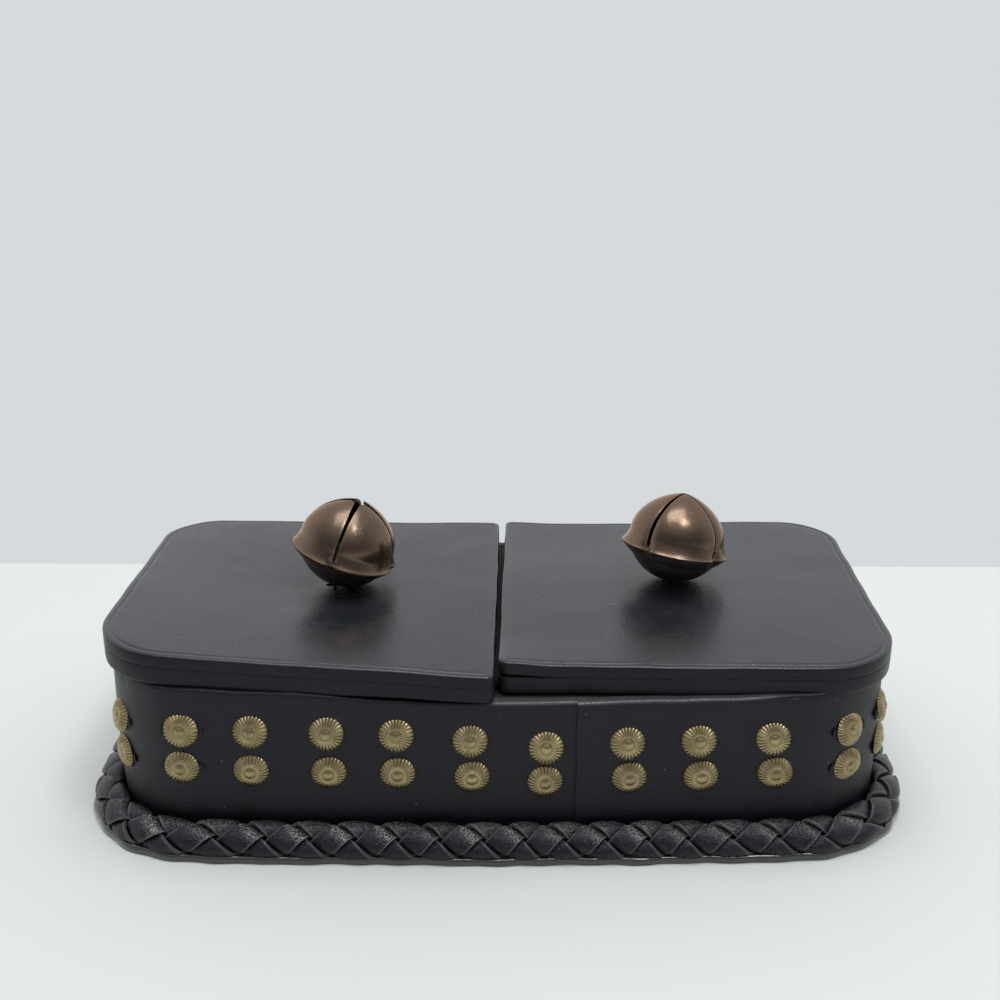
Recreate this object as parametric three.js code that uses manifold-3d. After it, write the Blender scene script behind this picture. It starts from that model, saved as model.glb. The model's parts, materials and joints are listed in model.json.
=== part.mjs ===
// A leather box for two decks of playing cards, with a lift-off lid over each well.
// A bent board carries a wrap of thick leather that laps on itself at the front.
// Rosette studs stand in pairs on the wrap, and a four-strand plait runs round the foot.
// Each lid is two leathers thick, with a board plug below and a petal bell as its knob.
// Millimetres, +Z up, front faces -Y, origin in the middle of the sole's underside.

import * as THREE from "three";
import { mergeVertices } from "three/addons/utils/BufferGeometryUtils.js";
import Module from "manifold-3d";

// Box
const deck_length = 88.9;
const deck_clearance = 1.75;
const body_width = 213.4;
const body_corner_radius = 24.4;
const wrap_thickness = 3.5;
const wall_thickness = 3;
const rim_height = 45.6;
const sole_thickness = 2;
const sole_margin = 9;
const base_thickness = 4;
const divider_thickness = 4;
const floor_pad_thickness = 1;

// Clearances
const seat_gap = 0.3;
const glue_line = 0.05;

// Lap seam of the wrap, on the front
const lap_x = 20.9;
const lap_step = 0.5;
const lap_taper = 6;
const lap_scarf = 12;
const lap_tip = 0.6;
const lap_gap = 0.15;

// Studs
const stud_columns = 30;
const stud_first_x = -6.8;
const stud_radius = 4.9;
const stud_shoulder_radius = 2.2;
const stud_shoulder_height = 1.5;
const stud_boss_radius = 1.3;
const stud_boss_height = 2.25;
const stud_height = 2.45;
const stud_bite = 0.06;
const stud_pair_height = 28;

// Plait round the foot
const plait_cycles = 13;
const plait_wall_gap = 0.55;
const plait_edge_gap = 0.15;
const plait_lift = 2.1;
const plait_joint = 0.45;
const lace_count = 4;
const lace_width = 2.15;
const lace_thickness = 2.3;

// Lids
const lid_overhang = 3.3;
const lid_slit = 1.6;
const lid_depth = 105;
const lid_front_corner_radius = 22.8;
const lid_back_corner_radius = 17;
const lid_inner_corner_radius = 2.5;
const lid_leather_thickness = 3.5;
const plug_thickness = 5;
const plug_clearance = 2.6;
const plug_lining_thickness = 1;

// Bells
const bell_radius = 14.8;
const bell_bowl_deg = 60;
const bell_ridge_radius = 15.8;
const bell_ridge_height = 10.1;
const bell_ridge_lip = 0.5;
const bell_height = 26.8;
const bell_wall = 0.9;
const bell_flare = 0.35;
const bell_flare_height = 4.5;
const bell_slit_foot = 11.6;
const bell_notch_radius = 0.8;
const pellet_radius = 4;
const shank_wire = 1.4;
const pin_diameter = 1.6;
const pin_length = 10;
const pin_play = 0.4;
const swing_play = 0.4;
const cut_overrun = 1;

// Fineness of the round forms
const corner_steps = 8;
const edge_steps = 3;
const stud_sides = 10;
const plait_steps = 12;
const lace_sides = 4;
const bell_sides = 20;
const bowl_steps = 5;
const wire_sides = 6;

// How each lid lies in the photograph, and how its bell leans to the right and to the back
const lids = [
  {
    side: "left",
    sign: -1,
    shift_back: -1,
    turn_deg: -1,
    hole_inward: 4.46,
    hole_back: 1.32,
    lean_deg: 17.4,
    lean_back_deg: 3.4,
    slit_turn_deg: -8,
    slit_foot_width: 0.5,
    slit_top_width: 2.2,
  },
  {
    side: "right",
    sign: 1,
    shift_back: 1.5,
    turn_deg: -0.4,
    hole_inward: 5.2,
    hole_back: 1.94,
    lean_deg: 9.6,
    lean_back_deg: 9.5,
    slit_turn_deg: -44,
    slit_foot_width: 0.4,
    slit_top_width: 0.6,
  },
];

// Places that follow from the sizes
const wall_stack = wrap_thickness + seat_gap + wall_thickness;
const well_depth = deck_length + 2 * deck_clearance;
const body_depth = well_depth + 2 * wall_stack;
const inner_width = body_width - 2 * wall_stack;
const well_width = (inner_width - divider_thickness) / 2;
const well_corner_radius = body_corner_radius - wall_stack;
const floor_level = sole_thickness + glue_line + base_thickness;
const lid_level = rim_height + seat_gap;
const lid_top = lid_level + 2 * lid_leather_thickness + glue_line;
const lid_width = (body_width + 2 * lid_overhang - lid_slit) / 2;
const lid_centre_x = (lid_width + lid_slit) / 2;
const plug_top = lid_level - glue_line;
const pin_level = lid_top - lid_leather_thickness - glue_line - seat_gap - pin_diameter / 2;
const eye_radius = pin_diameter / 2 + pin_play + shank_wire / 2;
const eye_room = eye_radius + shank_wire / 2 + swing_play;
const slot_width = shank_wire + 2 * pin_play;
const plait_sway = (sole_margin - plait_wall_gap - plait_edge_gap - lace_width) / 2;
const plait_offset = plait_wall_gap + lace_width / 2 + plait_sway;

const leather = { color: 0x2b2a2c, roughness: 0.5, metalness: 0 };
const lid_leather = { color: 0x55585a, roughness: 0.45, metalness: 0 };
const lace_leather = { color: 0x322a31, roughness: 0.35, metalness: 0 };
const board = { color: 0x8a7a62, roughness: 0.85, metalness: 0 };
const lining = { color: 0x3a2f2c, roughness: 0.9, metalness: 0 };
const brass = { color: 0x96875a, roughness: 0.4, metalness: 0.9 };
const bronze = { color: 0x6e5a48, roughness: 0.35, metalness: 0.9 };
const steel = { color: 0x5c5a56, roughness: 0.45, metalness: 0.9 };

const wasm = await Module();
wasm.setup();

function solid_of(geometry) {
  const bare = geometry.clone();
  bare.deleteAttribute("normal");
  bare.deleteAttribute("uv");
  const merged = mergeVertices(bare);
  return new wasm.Manifold(
    new wasm.Mesh({
      numProp: 3,
      vertProperties: merged.attributes.position.array,
      triVerts: new Uint32Array(merged.index.array),
    }),
  );
}

function geometry_of(solid) {
  const mesh = solid.getMesh();
  const geometry = new THREE.BufferGeometry();
  geometry.setAttribute("position", new THREE.BufferAttribute(mesh.vertProperties, 3));
  geometry.setIndex(new THREE.BufferAttribute(mesh.triVerts, 1));
  geometry.computeVertexNormals();
  return geometry;
}

function named_mesh(name, geometry, finish) {
  const mesh = new THREE.Mesh(geometry, new THREE.MeshStandardMaterial(finish));
  mesh.name = name;
  return mesh;
}

function radians(degrees) {
  return THREE.MathUtils.degToRad(degrees);
}

// A rectangle about the origin. The radii go round from the front left corner, anticlockwise.
function rounded_outline(width, depth, radii, steps) {
  const corners = [
    [-1, -1],
    [1, -1],
    [1, 1],
    [-1, 1],
  ];
  const points = [];
  corners.forEach(([sx, sy], i) => {
    const radius = radii[i];
    const first = Math.PI + (i * Math.PI) / 2;
    for (let k = 0; k <= steps[i]; k += 1) {
      const angle = first + (k * Math.PI) / (2 * steps[i]);
      const x = sx * (width / 2 - radius) + radius * Math.cos(angle);
      const y = sy * (depth / 2 - radius) + radius * Math.sin(angle);
      points.push(new THREE.Vector2(x, y));
    }
  });
  return points;
}

function body_outline(inset) {
  const radius = body_corner_radius - inset;
  const radii = [radius, radius, radius, radius];
  const steps = [corner_steps, corner_steps, corner_steps, corner_steps];
  return rounded_outline(body_width - 2 * inset, body_depth - 2 * inset, radii, steps);
}

function plate(points, level, thickness) {
  const geometry = new THREE.ExtrudeGeometry(new THREE.Shape(points), {
    depth: thickness,
    bevelEnabled: false,
  });
  return geometry.translate(0, 0, level);
}

function make_sole() {
  return named_mesh("sole", plate(body_outline(-sole_margin), 0, sole_thickness), leather);
}

function make_base_board() {
  const inset = wrap_thickness + seat_gap;
  const geometry = plate(body_outline(inset), sole_thickness + glue_line, base_thickness);
  return named_mesh("base_board", geometry, board);
}

// The corner points of an outline, begun at its front right corner.
function from_front_right(points) {
  const per_corner = corner_steps + 1;
  return points.slice(per_corner).concat(points.slice(0, per_corner));
}

function make_outer_wrap() {
  const face = -body_depth / 2;
  const back = face + wrap_thickness;
  const lap_end = lap_x + lap_scarf;
  const at = (x, y) => new THREE.Vector2(x, y);
  const outer_ends = [
    at(lap_x, face - lap_step),
    at(lap_x + lap_taper, face),
    at(lap_x, face),
    at(lap_end, back - lap_tip),
  ];
  const inner_ends = [
    at(lap_end, back),
    at(lap_end + lap_gap, back),
    at(lap_end + lap_gap, back - lap_tip - lap_gap),
    at(lap_x, face - lap_gap),
  ];
  const loop = outer_ends.slice(0, 2);
  loop.push(...from_front_right(body_outline(0)));
  loop.push(...outer_ends.slice(2));
  loop.push(inner_ends[0]);
  loop.push(...from_front_right(body_outline(wrap_thickness)).reverse());
  loop.push(...inner_ends.slice(1));
  const level = sole_thickness + glue_line;
  return named_mesh("outer_wrap", plate(loop, level, rim_height - level), leather);
}

// The board's ends butt in the middle of the back.
function make_inner_wall() {
  const outer_inset = wrap_thickness + seat_gap;
  const per_corner = corner_steps + 1;
  const from_back_left = (points) =>
    points.slice(3 * per_corner).concat(points.slice(0, 3 * per_corner));
  const outer = from_back_left(body_outline(outer_inset));
  const inner = from_back_left(body_outline(wall_stack));
  const half_joint = seat_gap / 2;
  const outer_y = body_depth / 2 - outer_inset;
  const inner_y = body_depth / 2 - wall_stack;
  const loop = [new THREE.Vector2(-half_joint, outer_y)];
  loop.push(...outer);
  loop.push(new THREE.Vector2(half_joint, outer_y));
  loop.push(new THREE.Vector2(half_joint, inner_y));
  loop.push(...inner.reverse());
  loop.push(new THREE.Vector2(-half_joint, inner_y));
  const level = floor_level + glue_line;
  return named_mesh("inner_wall", plate(loop, level, rim_height - level), board);
}

function make_divider() {
  const level = floor_level + glue_line;
  const geometry = new THREE.BoxGeometry(
    divider_thickness,
    well_depth - 2 * seat_gap,
    rim_height - level,
  );
  const divider = named_mesh("divider", geometry, board);
  divider.position.z = (rim_height + level) / 2;
  return divider;
}

// What fits a well with the same clearance all round. The well's outer corners are round.
function well_outline(sign, clearance) {
  const outer = well_corner_radius - clearance;
  const sharp = lid_inner_corner_radius;
  const left = [outer, sharp, sharp, outer];
  const right = [sharp, outer, outer, sharp];
  const left_steps = [corner_steps, edge_steps, edge_steps, corner_steps];
  const right_steps = [edge_steps, corner_steps, corner_steps, edge_steps];
  return rounded_outline(
    well_width - 2 * clearance,
    well_depth - 2 * clearance,
    sign < 0 ? left : right,
    sign < 0 ? left_steps : right_steps,
  );
}

function make_floor_pad(lid) {
  const level = floor_level + glue_line;
  const geometry = plate(well_outline(lid.sign, seat_gap), level, floor_pad_thickness);
  const pad = named_mesh(lid.side + "_floor_pad", geometry, lining);
  pad.position.x = (lid.sign * (divider_thickness + well_width)) / 2;
  return pad;
}

// A place on the body's outline moved out by an offset, at a distance along the outline.
// The distance is measured at that offset from the middle of the front, towards +X.
function point_on_path(distance, offset) {
  const radius = body_corner_radius + offset;
  const half_front = body_width / 2 - body_corner_radius;
  const half_side = body_depth / 2 - body_corner_radius;
  const arc = (Math.PI * radius) / 2;
  const runs = [
    { length: half_front, x: 0, y: -half_side, turn: 0, bend: 0 },
    { length: arc, x: half_front, y: -half_side, turn: 0, bend: 1 },
    { length: 2 * half_side, x: half_front, y: -half_side, turn: 1, bend: 0 },
    { length: arc, x: half_front, y: half_side, turn: 1, bend: 1 },
    { length: 2 * half_front, x: half_front, y: half_side, turn: 2, bend: 0 },
    { length: arc, x: -half_front, y: half_side, turn: 2, bend: 1 },
    { length: 2 * half_side, x: -half_front, y: half_side, turn: 3, bend: 0 },
    { length: arc, x: -half_front, y: -half_side, turn: 3, bend: 1 },
    { length: half_front, x: -half_front, y: -half_side, turn: 4, bend: 0 },
  ];
  const total = runs.reduce((sum, run) => sum + run.length, 0);
  let left = THREE.MathUtils.euclideanModulo(distance, total);
  const run = runs.find((candidate) => {
    if (left <= candidate.length) return true;
    left -= candidate.length;
    return false;
  });
  const angle = (run.turn * Math.PI) / 2 + run.bend * (left / radius);
  const along = new THREE.Vector2(Math.cos(angle), Math.sin(angle));
  const out = new THREE.Vector2(Math.sin(angle), -Math.cos(angle));
  const place = new THREE.Vector2(run.x, run.y).addScaledVector(out, radius);
  if (!run.bend) place.addScaledVector(along, left);
  return { place, out, angle, total };
}

// A domed cap with a raised boss. Its axis is Z, and its back is flat.
function stud_geometry() {
  const profile = [
    [0, 0],
    [stud_radius, 0],
    [stud_shoulder_radius, stud_shoulder_height],
    [stud_boss_radius, stud_boss_height],
    [0, stud_height],
  ].map(([r, z]) => new THREE.Vector2(r, z));
  const cap = new THREE.LatheGeometry(profile, stud_sides);
  return cap.rotateX(Math.PI / 2);
}

// The two studs of a column meet at their rims.
function stud_pair_geometry() {
  const half_pitch = stud_radius * Math.cos(Math.PI / stud_sides) - stud_bite / 2;
  const turned = stud_geometry().rotateZ(Math.PI / stud_sides);
  const upper = solid_of(turned.clone().translate(0, half_pitch, 0));
  const lower = solid_of(turned.clone().translate(0, -half_pitch, 0));
  return geometry_of(upper.add(lower));
}

function make_stud_pairs() {
  const geometry = stud_pair_geometry();
  const spacing = point_on_path(0, 0).total / stud_columns;
  return Array.from({ length: stud_columns }, (_, i) => {
    const spot = point_on_path(stud_first_x + i * spacing, seat_gap);
    const name = "stud_pair_" + String(i + 1).padStart(2, "0");
    const pair = named_mesh(name, geometry, brass);
    pair.position.set(spot.place.x, spot.place.y, stud_pair_height);
    pair.rotation.set(Math.PI / 2, spot.angle, 0, "ZXY");
    return pair;
  });
}

// One lace of the plait. Its sway is square to the path, and it dips three times
// as often as it sways, so that it goes over and under its neighbours in turn.
function lace_geometry(number) {
  const total = point_on_path(0, plait_offset).total;
  const middle_back = total / 2;
  const run = total - plait_joint;
  const rings = plait_cycles * plait_steps;
  const even_crossing_share = 0.1716;
  const rise = plait_lift * (1 + even_crossing_share / 2) + lace_thickness / 2;
  const level = sole_thickness + glue_line + rise;
  const spine = Array.from({ length: rings + 1 }, (_, i) => {
    const phase = 2 * Math.PI * (i / plait_steps + number / lace_count);
    const distance = middle_back + plait_joint / 2 + (run * i) / rings;
    const spot = point_on_path(distance, plait_offset);
    const sway = plait_sway * Math.sin(phase);
    const dip = Math.cos(3 * phase) - even_crossing_share * Math.cos(phase);
    return new THREE.Vector3(
      spot.place.x + spot.out.x * sway,
      spot.place.y + spot.out.y * sway,
      level - plait_lift * dip,
    );
  });
  const points = [];
  spine.forEach((here, i) => {
    const before = spine[Math.max(i - 1, 0)];
    const after = spine[Math.min(i + 1, rings)];
    const along = after.clone().sub(before).normalize();
    const across = new THREE.Vector3(-along.y, along.x, 0).normalize();
    const up = new THREE.Vector3().crossVectors(along, across);
    for (let j = 0; j < lace_sides; j += 1) {
      const angle = (2 * Math.PI * j) / lace_sides;
      const corner = here
        .clone()
        .addScaledVector(across, (lace_width / 2) * Math.cos(angle))
        .addScaledVector(up, (lace_thickness / 2) * Math.sin(angle));
      points.push(corner.x, corner.y, corner.z);
    }
  });
  const faces = [];
  for (let i = 0; i < rings; i += 1) {
    for (let j = 0; j < lace_sides; j += 1) {
      const a = i * lace_sides + j;
      const b = i * lace_sides + ((j + 1) % lace_sides);
      faces.push(a, b, b + lace_sides, a, b + lace_sides, a + lace_sides);
    }
  }
  const last = rings * lace_sides;
  for (let j = 1; j < lace_sides - 1; j += 1) {
    faces.push(0, j + 1, j);
    faces.push(last, last + j, last + j + 1);
  }
  const geometry = new THREE.BufferGeometry();
  geometry.setAttribute("position", new THREE.Float32BufferAttribute(points, 3));
  geometry.setIndex(faces);
  geometry.computeVertexNormals();
  return geometry;
}

function make_laces() {
  return Array.from({ length: lace_count }, (_, number) =>
    named_mesh("braid_strand_" + (number + 1), lace_geometry(number), lace_leather),
  );
}

// A straight-sided hole with its long way along X, about a place on the lid.
function slot_geometry(x, y, length, width, low, high) {
  return new THREE.BoxGeometry(length, width, high - low).translate(x, y, (low + high) / 2);
}

function lid_outline(sign) {
  const front = lid_front_corner_radius;
  const back = lid_back_corner_radius;
  const tight = lid_inner_corner_radius;
  const left = [front, tight, tight, back];
  const right = [tight, front, back, tight];
  const left_steps = [corner_steps, edge_steps, edge_steps, corner_steps];
  const right_steps = [edge_steps, corner_steps, corner_steps, edge_steps];
  return rounded_outline(
    lid_width,
    lid_depth,
    sign < 0 ? left : right,
    sign < 0 ? left_steps : right_steps,
  );
}

// The slot that the shank swings in, from upright to where it leans out at the top.
function shank_slot(hole_x, hole_y, lean, low) {
  const upright_reach = shank_wire / 2 + swing_play;
  const lean_out = (lid_top - pin_level) * Math.tan(lean) + shank_wire / (2 * Math.cos(lean));
  const lean_reach = lean_out + swing_play;
  return slot_geometry(
    hole_x + (lean_reach - upright_reach) / 2,
    hole_y,
    lean_reach + upright_reach,
    slot_width,
    low,
    lid_top + cut_overrun,
  );
}

function make_lid(lid) {
  const group = new THREE.Group();
  const hole_x = -lid.sign * lid.hole_inward;
  const hole_y = lid.hole_back;
  const lean = radians(lid.lean_deg);
  const under_top = lid_level + lid_leather_thickness;
  const eye_space = (low, high) =>
    solid_of(slot_geometry(hole_x, hole_y, 2 * eye_room, slot_width, low, high));

  const top_level = under_top + glue_line;
  const top = solid_of(plate(lid_outline(lid.sign), top_level, lid_leather_thickness));
  const eye_top = pin_level + eye_room;
  const swing_slot = solid_of(shank_slot(hole_x, hole_y, lean, eye_top - cut_overrun));
  const top_cut = top.subtract(eye_space(under_top - cut_overrun, eye_top)).subtract(swing_slot);
  group.add(named_mesh(lid.side + "_lid_top_leather", geometry_of(top_cut), lid_leather));

  const groove_width = pin_diameter + 2 * seat_gap;
  const groove_low = pin_level - groove_width / 2;
  const high = under_top + cut_overrun;
  const groove = slot_geometry(
    hole_x,
    hole_y,
    groove_width,
    pin_length + 2 * seat_gap,
    groove_low,
    high,
  );
  const under = solid_of(plate(lid_outline(lid.sign), lid_level, lid_leather_thickness));
  const eye_slot = eye_space(lid_level - cut_overrun, high);
  const under_cut = under.subtract(eye_slot).subtract(solid_of(groove));
  group.add(named_mesh(lid.side + "_lid_under_leather", geometry_of(under_cut), lid_leather));

  const plug_low = plug_top - plug_thickness;
  const well_centre_x = (divider_thickness + well_width) / 2;
  const plug_x = lid.sign * (well_centre_x - lid_centre_x);
  const plug_plate = plate(well_outline(lid.sign, plug_clearance), plug_low, plug_thickness);
  const pocket = eye_space(pin_level - eye_room, plug_top + cut_overrun);
  const plug = solid_of(plug_plate.translate(plug_x, 0, 0)).subtract(pocket);
  group.add(named_mesh(lid.side + "_lid_plug", geometry_of(plug), board));

  const lining_low = plug_low - glue_line - plug_lining_thickness;
  const lining_plate = plate(
    well_outline(lid.sign, plug_clearance),
    lining_low,
    plug_lining_thickness,
  );
  const lining_geometry = lining_plate.translate(plug_x, 0, 0);
  group.add(named_mesh(lid.side + "_lid_plug_lining", lining_geometry, lining));

  const pin_geometry = new THREE.CylinderGeometry(
    pin_diameter / 2,
    pin_diameter / 2,
    pin_length,
    wire_sides,
  );
  const pin = named_mesh(lid.side + "_bell_pin", pin_geometry, steel);
  pin.position.set(hole_x, hole_y, pin_level);
  group.add(pin);

  const bell = make_bell(lid);
  bell.position.set(hole_x, hole_y, pin_level);
  bell.rotation.y = lean;
  group.add(bell);

  group.position.set(lid.sign * lid_centre_x, lid.shift_back, 0);
  group.rotation.z = radians(lid.turn_deg);
  return group;
}

// The bell's outline from pole to apex: a round bowl, a flared ridge, then the petals.
function bell_profile() {
  const points = [];
  for (let i = 0; i <= bowl_steps; i += 1) {
    const angle = radians((bell_bowl_deg * i) / bowl_steps);
    points.push([bell_radius * Math.sin(angle), bell_radius * (1 - Math.cos(angle))]);
  }
  points.push([bell_ridge_radius, bell_ridge_height - bell_ridge_lip / 2]);
  points.push([bell_ridge_radius, bell_ridge_height + bell_ridge_lip / 2]);
  const dome = bell_height - bell_ridge_height;
  const petal_shares = [
    [0.886, 0.11],
    [0.817, 0.41],
    [0.627, 0.68],
    [0.36, 0.88],
    [0.153, 0.97],
    [0, 1],
  ];
  for (const [radius_share, height_share] of petal_shares) {
    points.push([bell_ridge_radius * radius_share, bell_ridge_height + dome * height_share]);
  }
  return points.map(([r, z]) => new THREE.Vector2(r, z));
}

// The same outline moved in by the wall, square to itself.
function inner_profile(outer) {
  return outer.map((point, i) => {
    const before = outer[Math.max(i - 1, 0)];
    const after = outer[Math.min(i + 1, outer.length - 1)];
    const along = after.clone().sub(before).normalize();
    const moved = new THREE.Vector2(point.x - along.y * bell_wall, point.y + along.x * bell_wall);
    if (i === 0) return new THREE.Vector2(0, bell_wall);
    if (i === outer.length - 1) return new THREE.Vector2(0, point.y - bell_wall);
    return moved;
  });
}

// Each petal stands out a little at its middle, most of all at the ridge.
function spread_petals(geometry, slit_turn) {
  const place = geometry.attributes.position;
  for (let i = 0; i < place.count; i += 1) {
    const x = place.getX(i);
    const y = place.getY(i);
    const z = place.getZ(i);
    const radius = Math.hypot(x, y);
    const near_ridge = Math.exp(-(((z - bell_ridge_height) / bell_flare_height) ** 2));
    const turn = Math.atan2(y, x) - slit_turn;
    const spread = 1 - (bell_flare / bell_ridge_radius) * near_ridge * Math.cos(2 * turn) ** 2;
    if (radius > 0) place.setXY(i, x * spread, y * spread);
  }
  return geometry;
}

function lathe(profile) {
  return new THREE.LatheGeometry(profile, bell_sides).rotateX(Math.PI / 2);
}

// A wedge that opens upwards, set across the whole bell, with a round foot.
function slit_solid(lid, turn) {
  const across = 2 * (bell_ridge_radius + cut_overrun);
  const top = bell_height + cut_overrun;
  const wedge = new THREE.ExtrudeGeometry(
    new THREE.Shape([
      new THREE.Vector2(-lid.slit_foot_width / 2, bell_slit_foot),
      new THREE.Vector2(lid.slit_foot_width / 2, bell_slit_foot),
      new THREE.Vector2(lid.slit_top_width / 2, top),
      new THREE.Vector2(-lid.slit_top_width / 2, top),
    ]),
    { depth: across, bevelEnabled: false },
  );
  wedge.translate(0, 0, -across / 2).rotateX(Math.PI / 2).rotateZ(turn);
  const foot = new THREE.CylinderGeometry(
    bell_notch_radius,
    bell_notch_radius,
    across,
    wire_sides,
  );
  foot.translate(0, 0, bell_slit_foot).rotateZ(turn);
  return solid_of(wedge).add(solid_of(foot));
}

function shell_geometry(lid) {
  const turn = radians(lid.slit_turn_deg);
  const outer = bell_profile();
  const outside = solid_of(spread_petals(lathe(outer), turn));
  const hollow = solid_of(spread_petals(lathe(inner_profile(outer)), turn));
  const shell = outside
    .subtract(hollow)
    .subtract(slit_solid(lid, turn))
    .subtract(slit_solid(lid, turn + Math.PI / 2));
  return geometry_of(shell);
}

// A wire post that ends in an eye round the pin. The eye's middle is the origin.
function shank_geometry(length) {
  const eye = new THREE.TorusGeometry(eye_radius, shank_wire / 2, wire_sides, 2 * wire_sides);
  eye.rotateX(Math.PI / 2);
  const post_length = length - eye_radius;
  const post = new THREE.CylinderGeometry(shank_wire / 2, shank_wire / 2, post_length, wire_sides);
  post.rotateX(Math.PI / 2).translate(0, 0, eye_radius + post_length / 2);
  return geometry_of(solid_of(eye).add(solid_of(post)));
}

// The bell's frame has the pin's middle as its origin and the shank's axis as Z.
// The shank is as long as lets the leaning bowl touch down beside its hole.
// The shell is also tipped to the back, about the pole where the shank holds it.
function make_bell(lid) {
  const lean = radians(lid.lean_deg);
  const lean_back = radians(lid.lean_back_deg);
  const centre_height = lid_top - pin_level + seat_gap + bell_radius;
  const centre_reach = centre_height / Math.cos(lean);
  const pole_reach = centre_reach - bell_radius * Math.cos(lean_back);
  const bell = new THREE.Group();

  const shell = named_mesh(lid.side + "_bell_shell", shell_geometry(lid), bronze);
  shell.position.z = pole_reach;
  shell.rotation.x = -lean_back;
  bell.add(shell);

  const shank = shank_geometry(pole_reach - seat_gap);
  bell.add(named_mesh(lid.side + "_bell_shank", shank, steel));

  const roll_radius = bell_radius - bell_wall - seat_gap - pellet_radius;
  const ball = new THREE.SphereGeometry(pellet_radius, 2 * wire_sides, wire_sides);
  const pellet = named_mesh(lid.side + "_bell_pellet", ball, steel);
  pellet.position.set(
    roll_radius * Math.sin(lean),
    bell_radius * Math.sin(lean_back),
    centre_reach - roll_radius * Math.cos(lean),
  );
  bell.add(pellet);
  return bell;
}

const box = new THREE.Group();
box.add(make_sole());
box.add(make_base_board());
box.add(make_inner_wall());
box.add(make_outer_wrap());
box.add(make_divider());
box.add(...lids.map(make_floor_pad));
box.add(...make_laces());
box.add(...make_stud_pairs());

const card_box = new THREE.Group();
card_box.add(box);
card_box.add(...lids.map(make_lid));

export default card_box;
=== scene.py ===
import json
import math

import bmesh
import bpy
import numpy as np
from mathutils import Matrix, Vector, noise


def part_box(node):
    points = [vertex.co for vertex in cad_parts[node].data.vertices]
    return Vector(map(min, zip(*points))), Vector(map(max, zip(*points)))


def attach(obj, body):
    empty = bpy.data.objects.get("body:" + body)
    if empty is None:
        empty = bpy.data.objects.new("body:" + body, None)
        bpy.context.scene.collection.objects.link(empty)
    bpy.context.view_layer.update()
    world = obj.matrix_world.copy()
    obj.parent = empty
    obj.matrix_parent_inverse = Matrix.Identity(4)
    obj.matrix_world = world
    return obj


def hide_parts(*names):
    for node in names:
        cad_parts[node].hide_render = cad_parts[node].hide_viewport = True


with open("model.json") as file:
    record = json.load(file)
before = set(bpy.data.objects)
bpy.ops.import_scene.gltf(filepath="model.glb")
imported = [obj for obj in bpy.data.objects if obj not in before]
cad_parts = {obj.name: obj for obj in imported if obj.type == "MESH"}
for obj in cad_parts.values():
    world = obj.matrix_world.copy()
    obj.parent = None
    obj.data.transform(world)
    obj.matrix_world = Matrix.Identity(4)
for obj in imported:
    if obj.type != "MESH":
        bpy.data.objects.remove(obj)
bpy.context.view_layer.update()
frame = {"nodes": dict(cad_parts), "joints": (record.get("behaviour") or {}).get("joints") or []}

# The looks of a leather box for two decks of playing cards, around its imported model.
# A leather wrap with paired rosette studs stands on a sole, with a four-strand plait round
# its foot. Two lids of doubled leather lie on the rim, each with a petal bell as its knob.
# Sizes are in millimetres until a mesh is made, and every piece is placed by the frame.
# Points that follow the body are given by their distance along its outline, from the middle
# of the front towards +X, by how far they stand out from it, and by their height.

mm = 0.001


def box_mm(node):
    low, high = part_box(node)
    return np.array(low) / mm, np.array(high) / mm


# Photograph
image_px = 1000
focal_px = 1270.4
sensor_width = 36
camera_place = (1.3, -349.1, 209.65)
camera_pitch_deg = 20.32
camera_yaw_deg = -0.18
camera_roll_deg = -0.14

# Body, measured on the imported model
wrap_low, wrap_high = box_mm("outer_wrap")
sole_high = box_mm("sole")[1]
wall_low, wall_high = box_mm("inner_wall")
body_width = wrap_high[0] - wrap_low[0]
body_depth = 2 * wrap_high[1]
body_corner = 24.4
wrap_thickness = 3.5
wall_offset = wall_high[0] - wrap_high[0]
wall_thickness = 3
wall_drop = 0.3
rim_level = wrap_high[2]
foot_level = wrap_low[2]
sole_thickness = sole_high[2]
sole_margin = sole_high[0] - wrap_high[0]

# How the hand-made body departs from its plain outline
front_swell = 2.3
front_swell_reach = 95
front_slant_share = 0.01
back_swell = 1.2
side_swell = 1.6
wall_swell_share = 0.55
rim_dip_front = 1.3
rim_dip_back = 1.0
rim_dip_reach = 100
rim_rise_left = 2.2
rim_rise_right = 0.7
rim_dip_back_x = 30
rim_dip_back_reach = 30
side_swell_reach = 45
sag_from_level = 12
wrap_belly = 0.35

# Where the swelling and the rim's sag and rise set in: none at the first coordinate, full at
# the second
front_swell_onset = (-18, -48)
back_swell_onset = (18, 48)
side_swell_onset = (70, 100)
rim_dip_front_onset = (-25, -48)
rim_dip_back_onset = (25, 48)
rim_rise_left_onset = (-20, -60)
rim_rise_right_onset = (55, 85)
rim_rise_front_onset = (10, -45)

# Unevenness by chance: how wide its swells are and how deep
wrap_clouds = (34, 0.28)
wrap_ripple = (7, 0.06)
rim_wobble = (8, 0.22)
wall_wobble = (12, 0.12)
lap_wobble = (9, 0.25)
sole_wave = (16, 0.7)
sole_ripple = (6, 0.25)
sole_lift = (9, 0.18)
lid_wave = (30, 0.27)
lid_ripple = (9, 0.09)
lid_trim = (12, 0.35)

# How many sections a piece has round its outline
wrap_sections = 440
wall_sections = 260
sole_sections = 520

# Where the rim's front edge is lightened as a painted highlight: the x at which it starts, is full,
# fades, ends
rim_highlight_span = (-6, 1, 62, 78)
rim_highlight_share = 2.6

# Lap seam of the wrap
lap_x = 20.9
lap_step = 0.75
lap_fade = 5
lap_wobble_fade = 4

# Sole
sole_scallop = 0.2
sole_spread = 0.5
sole_wave_fade = (1, 8)

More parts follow.
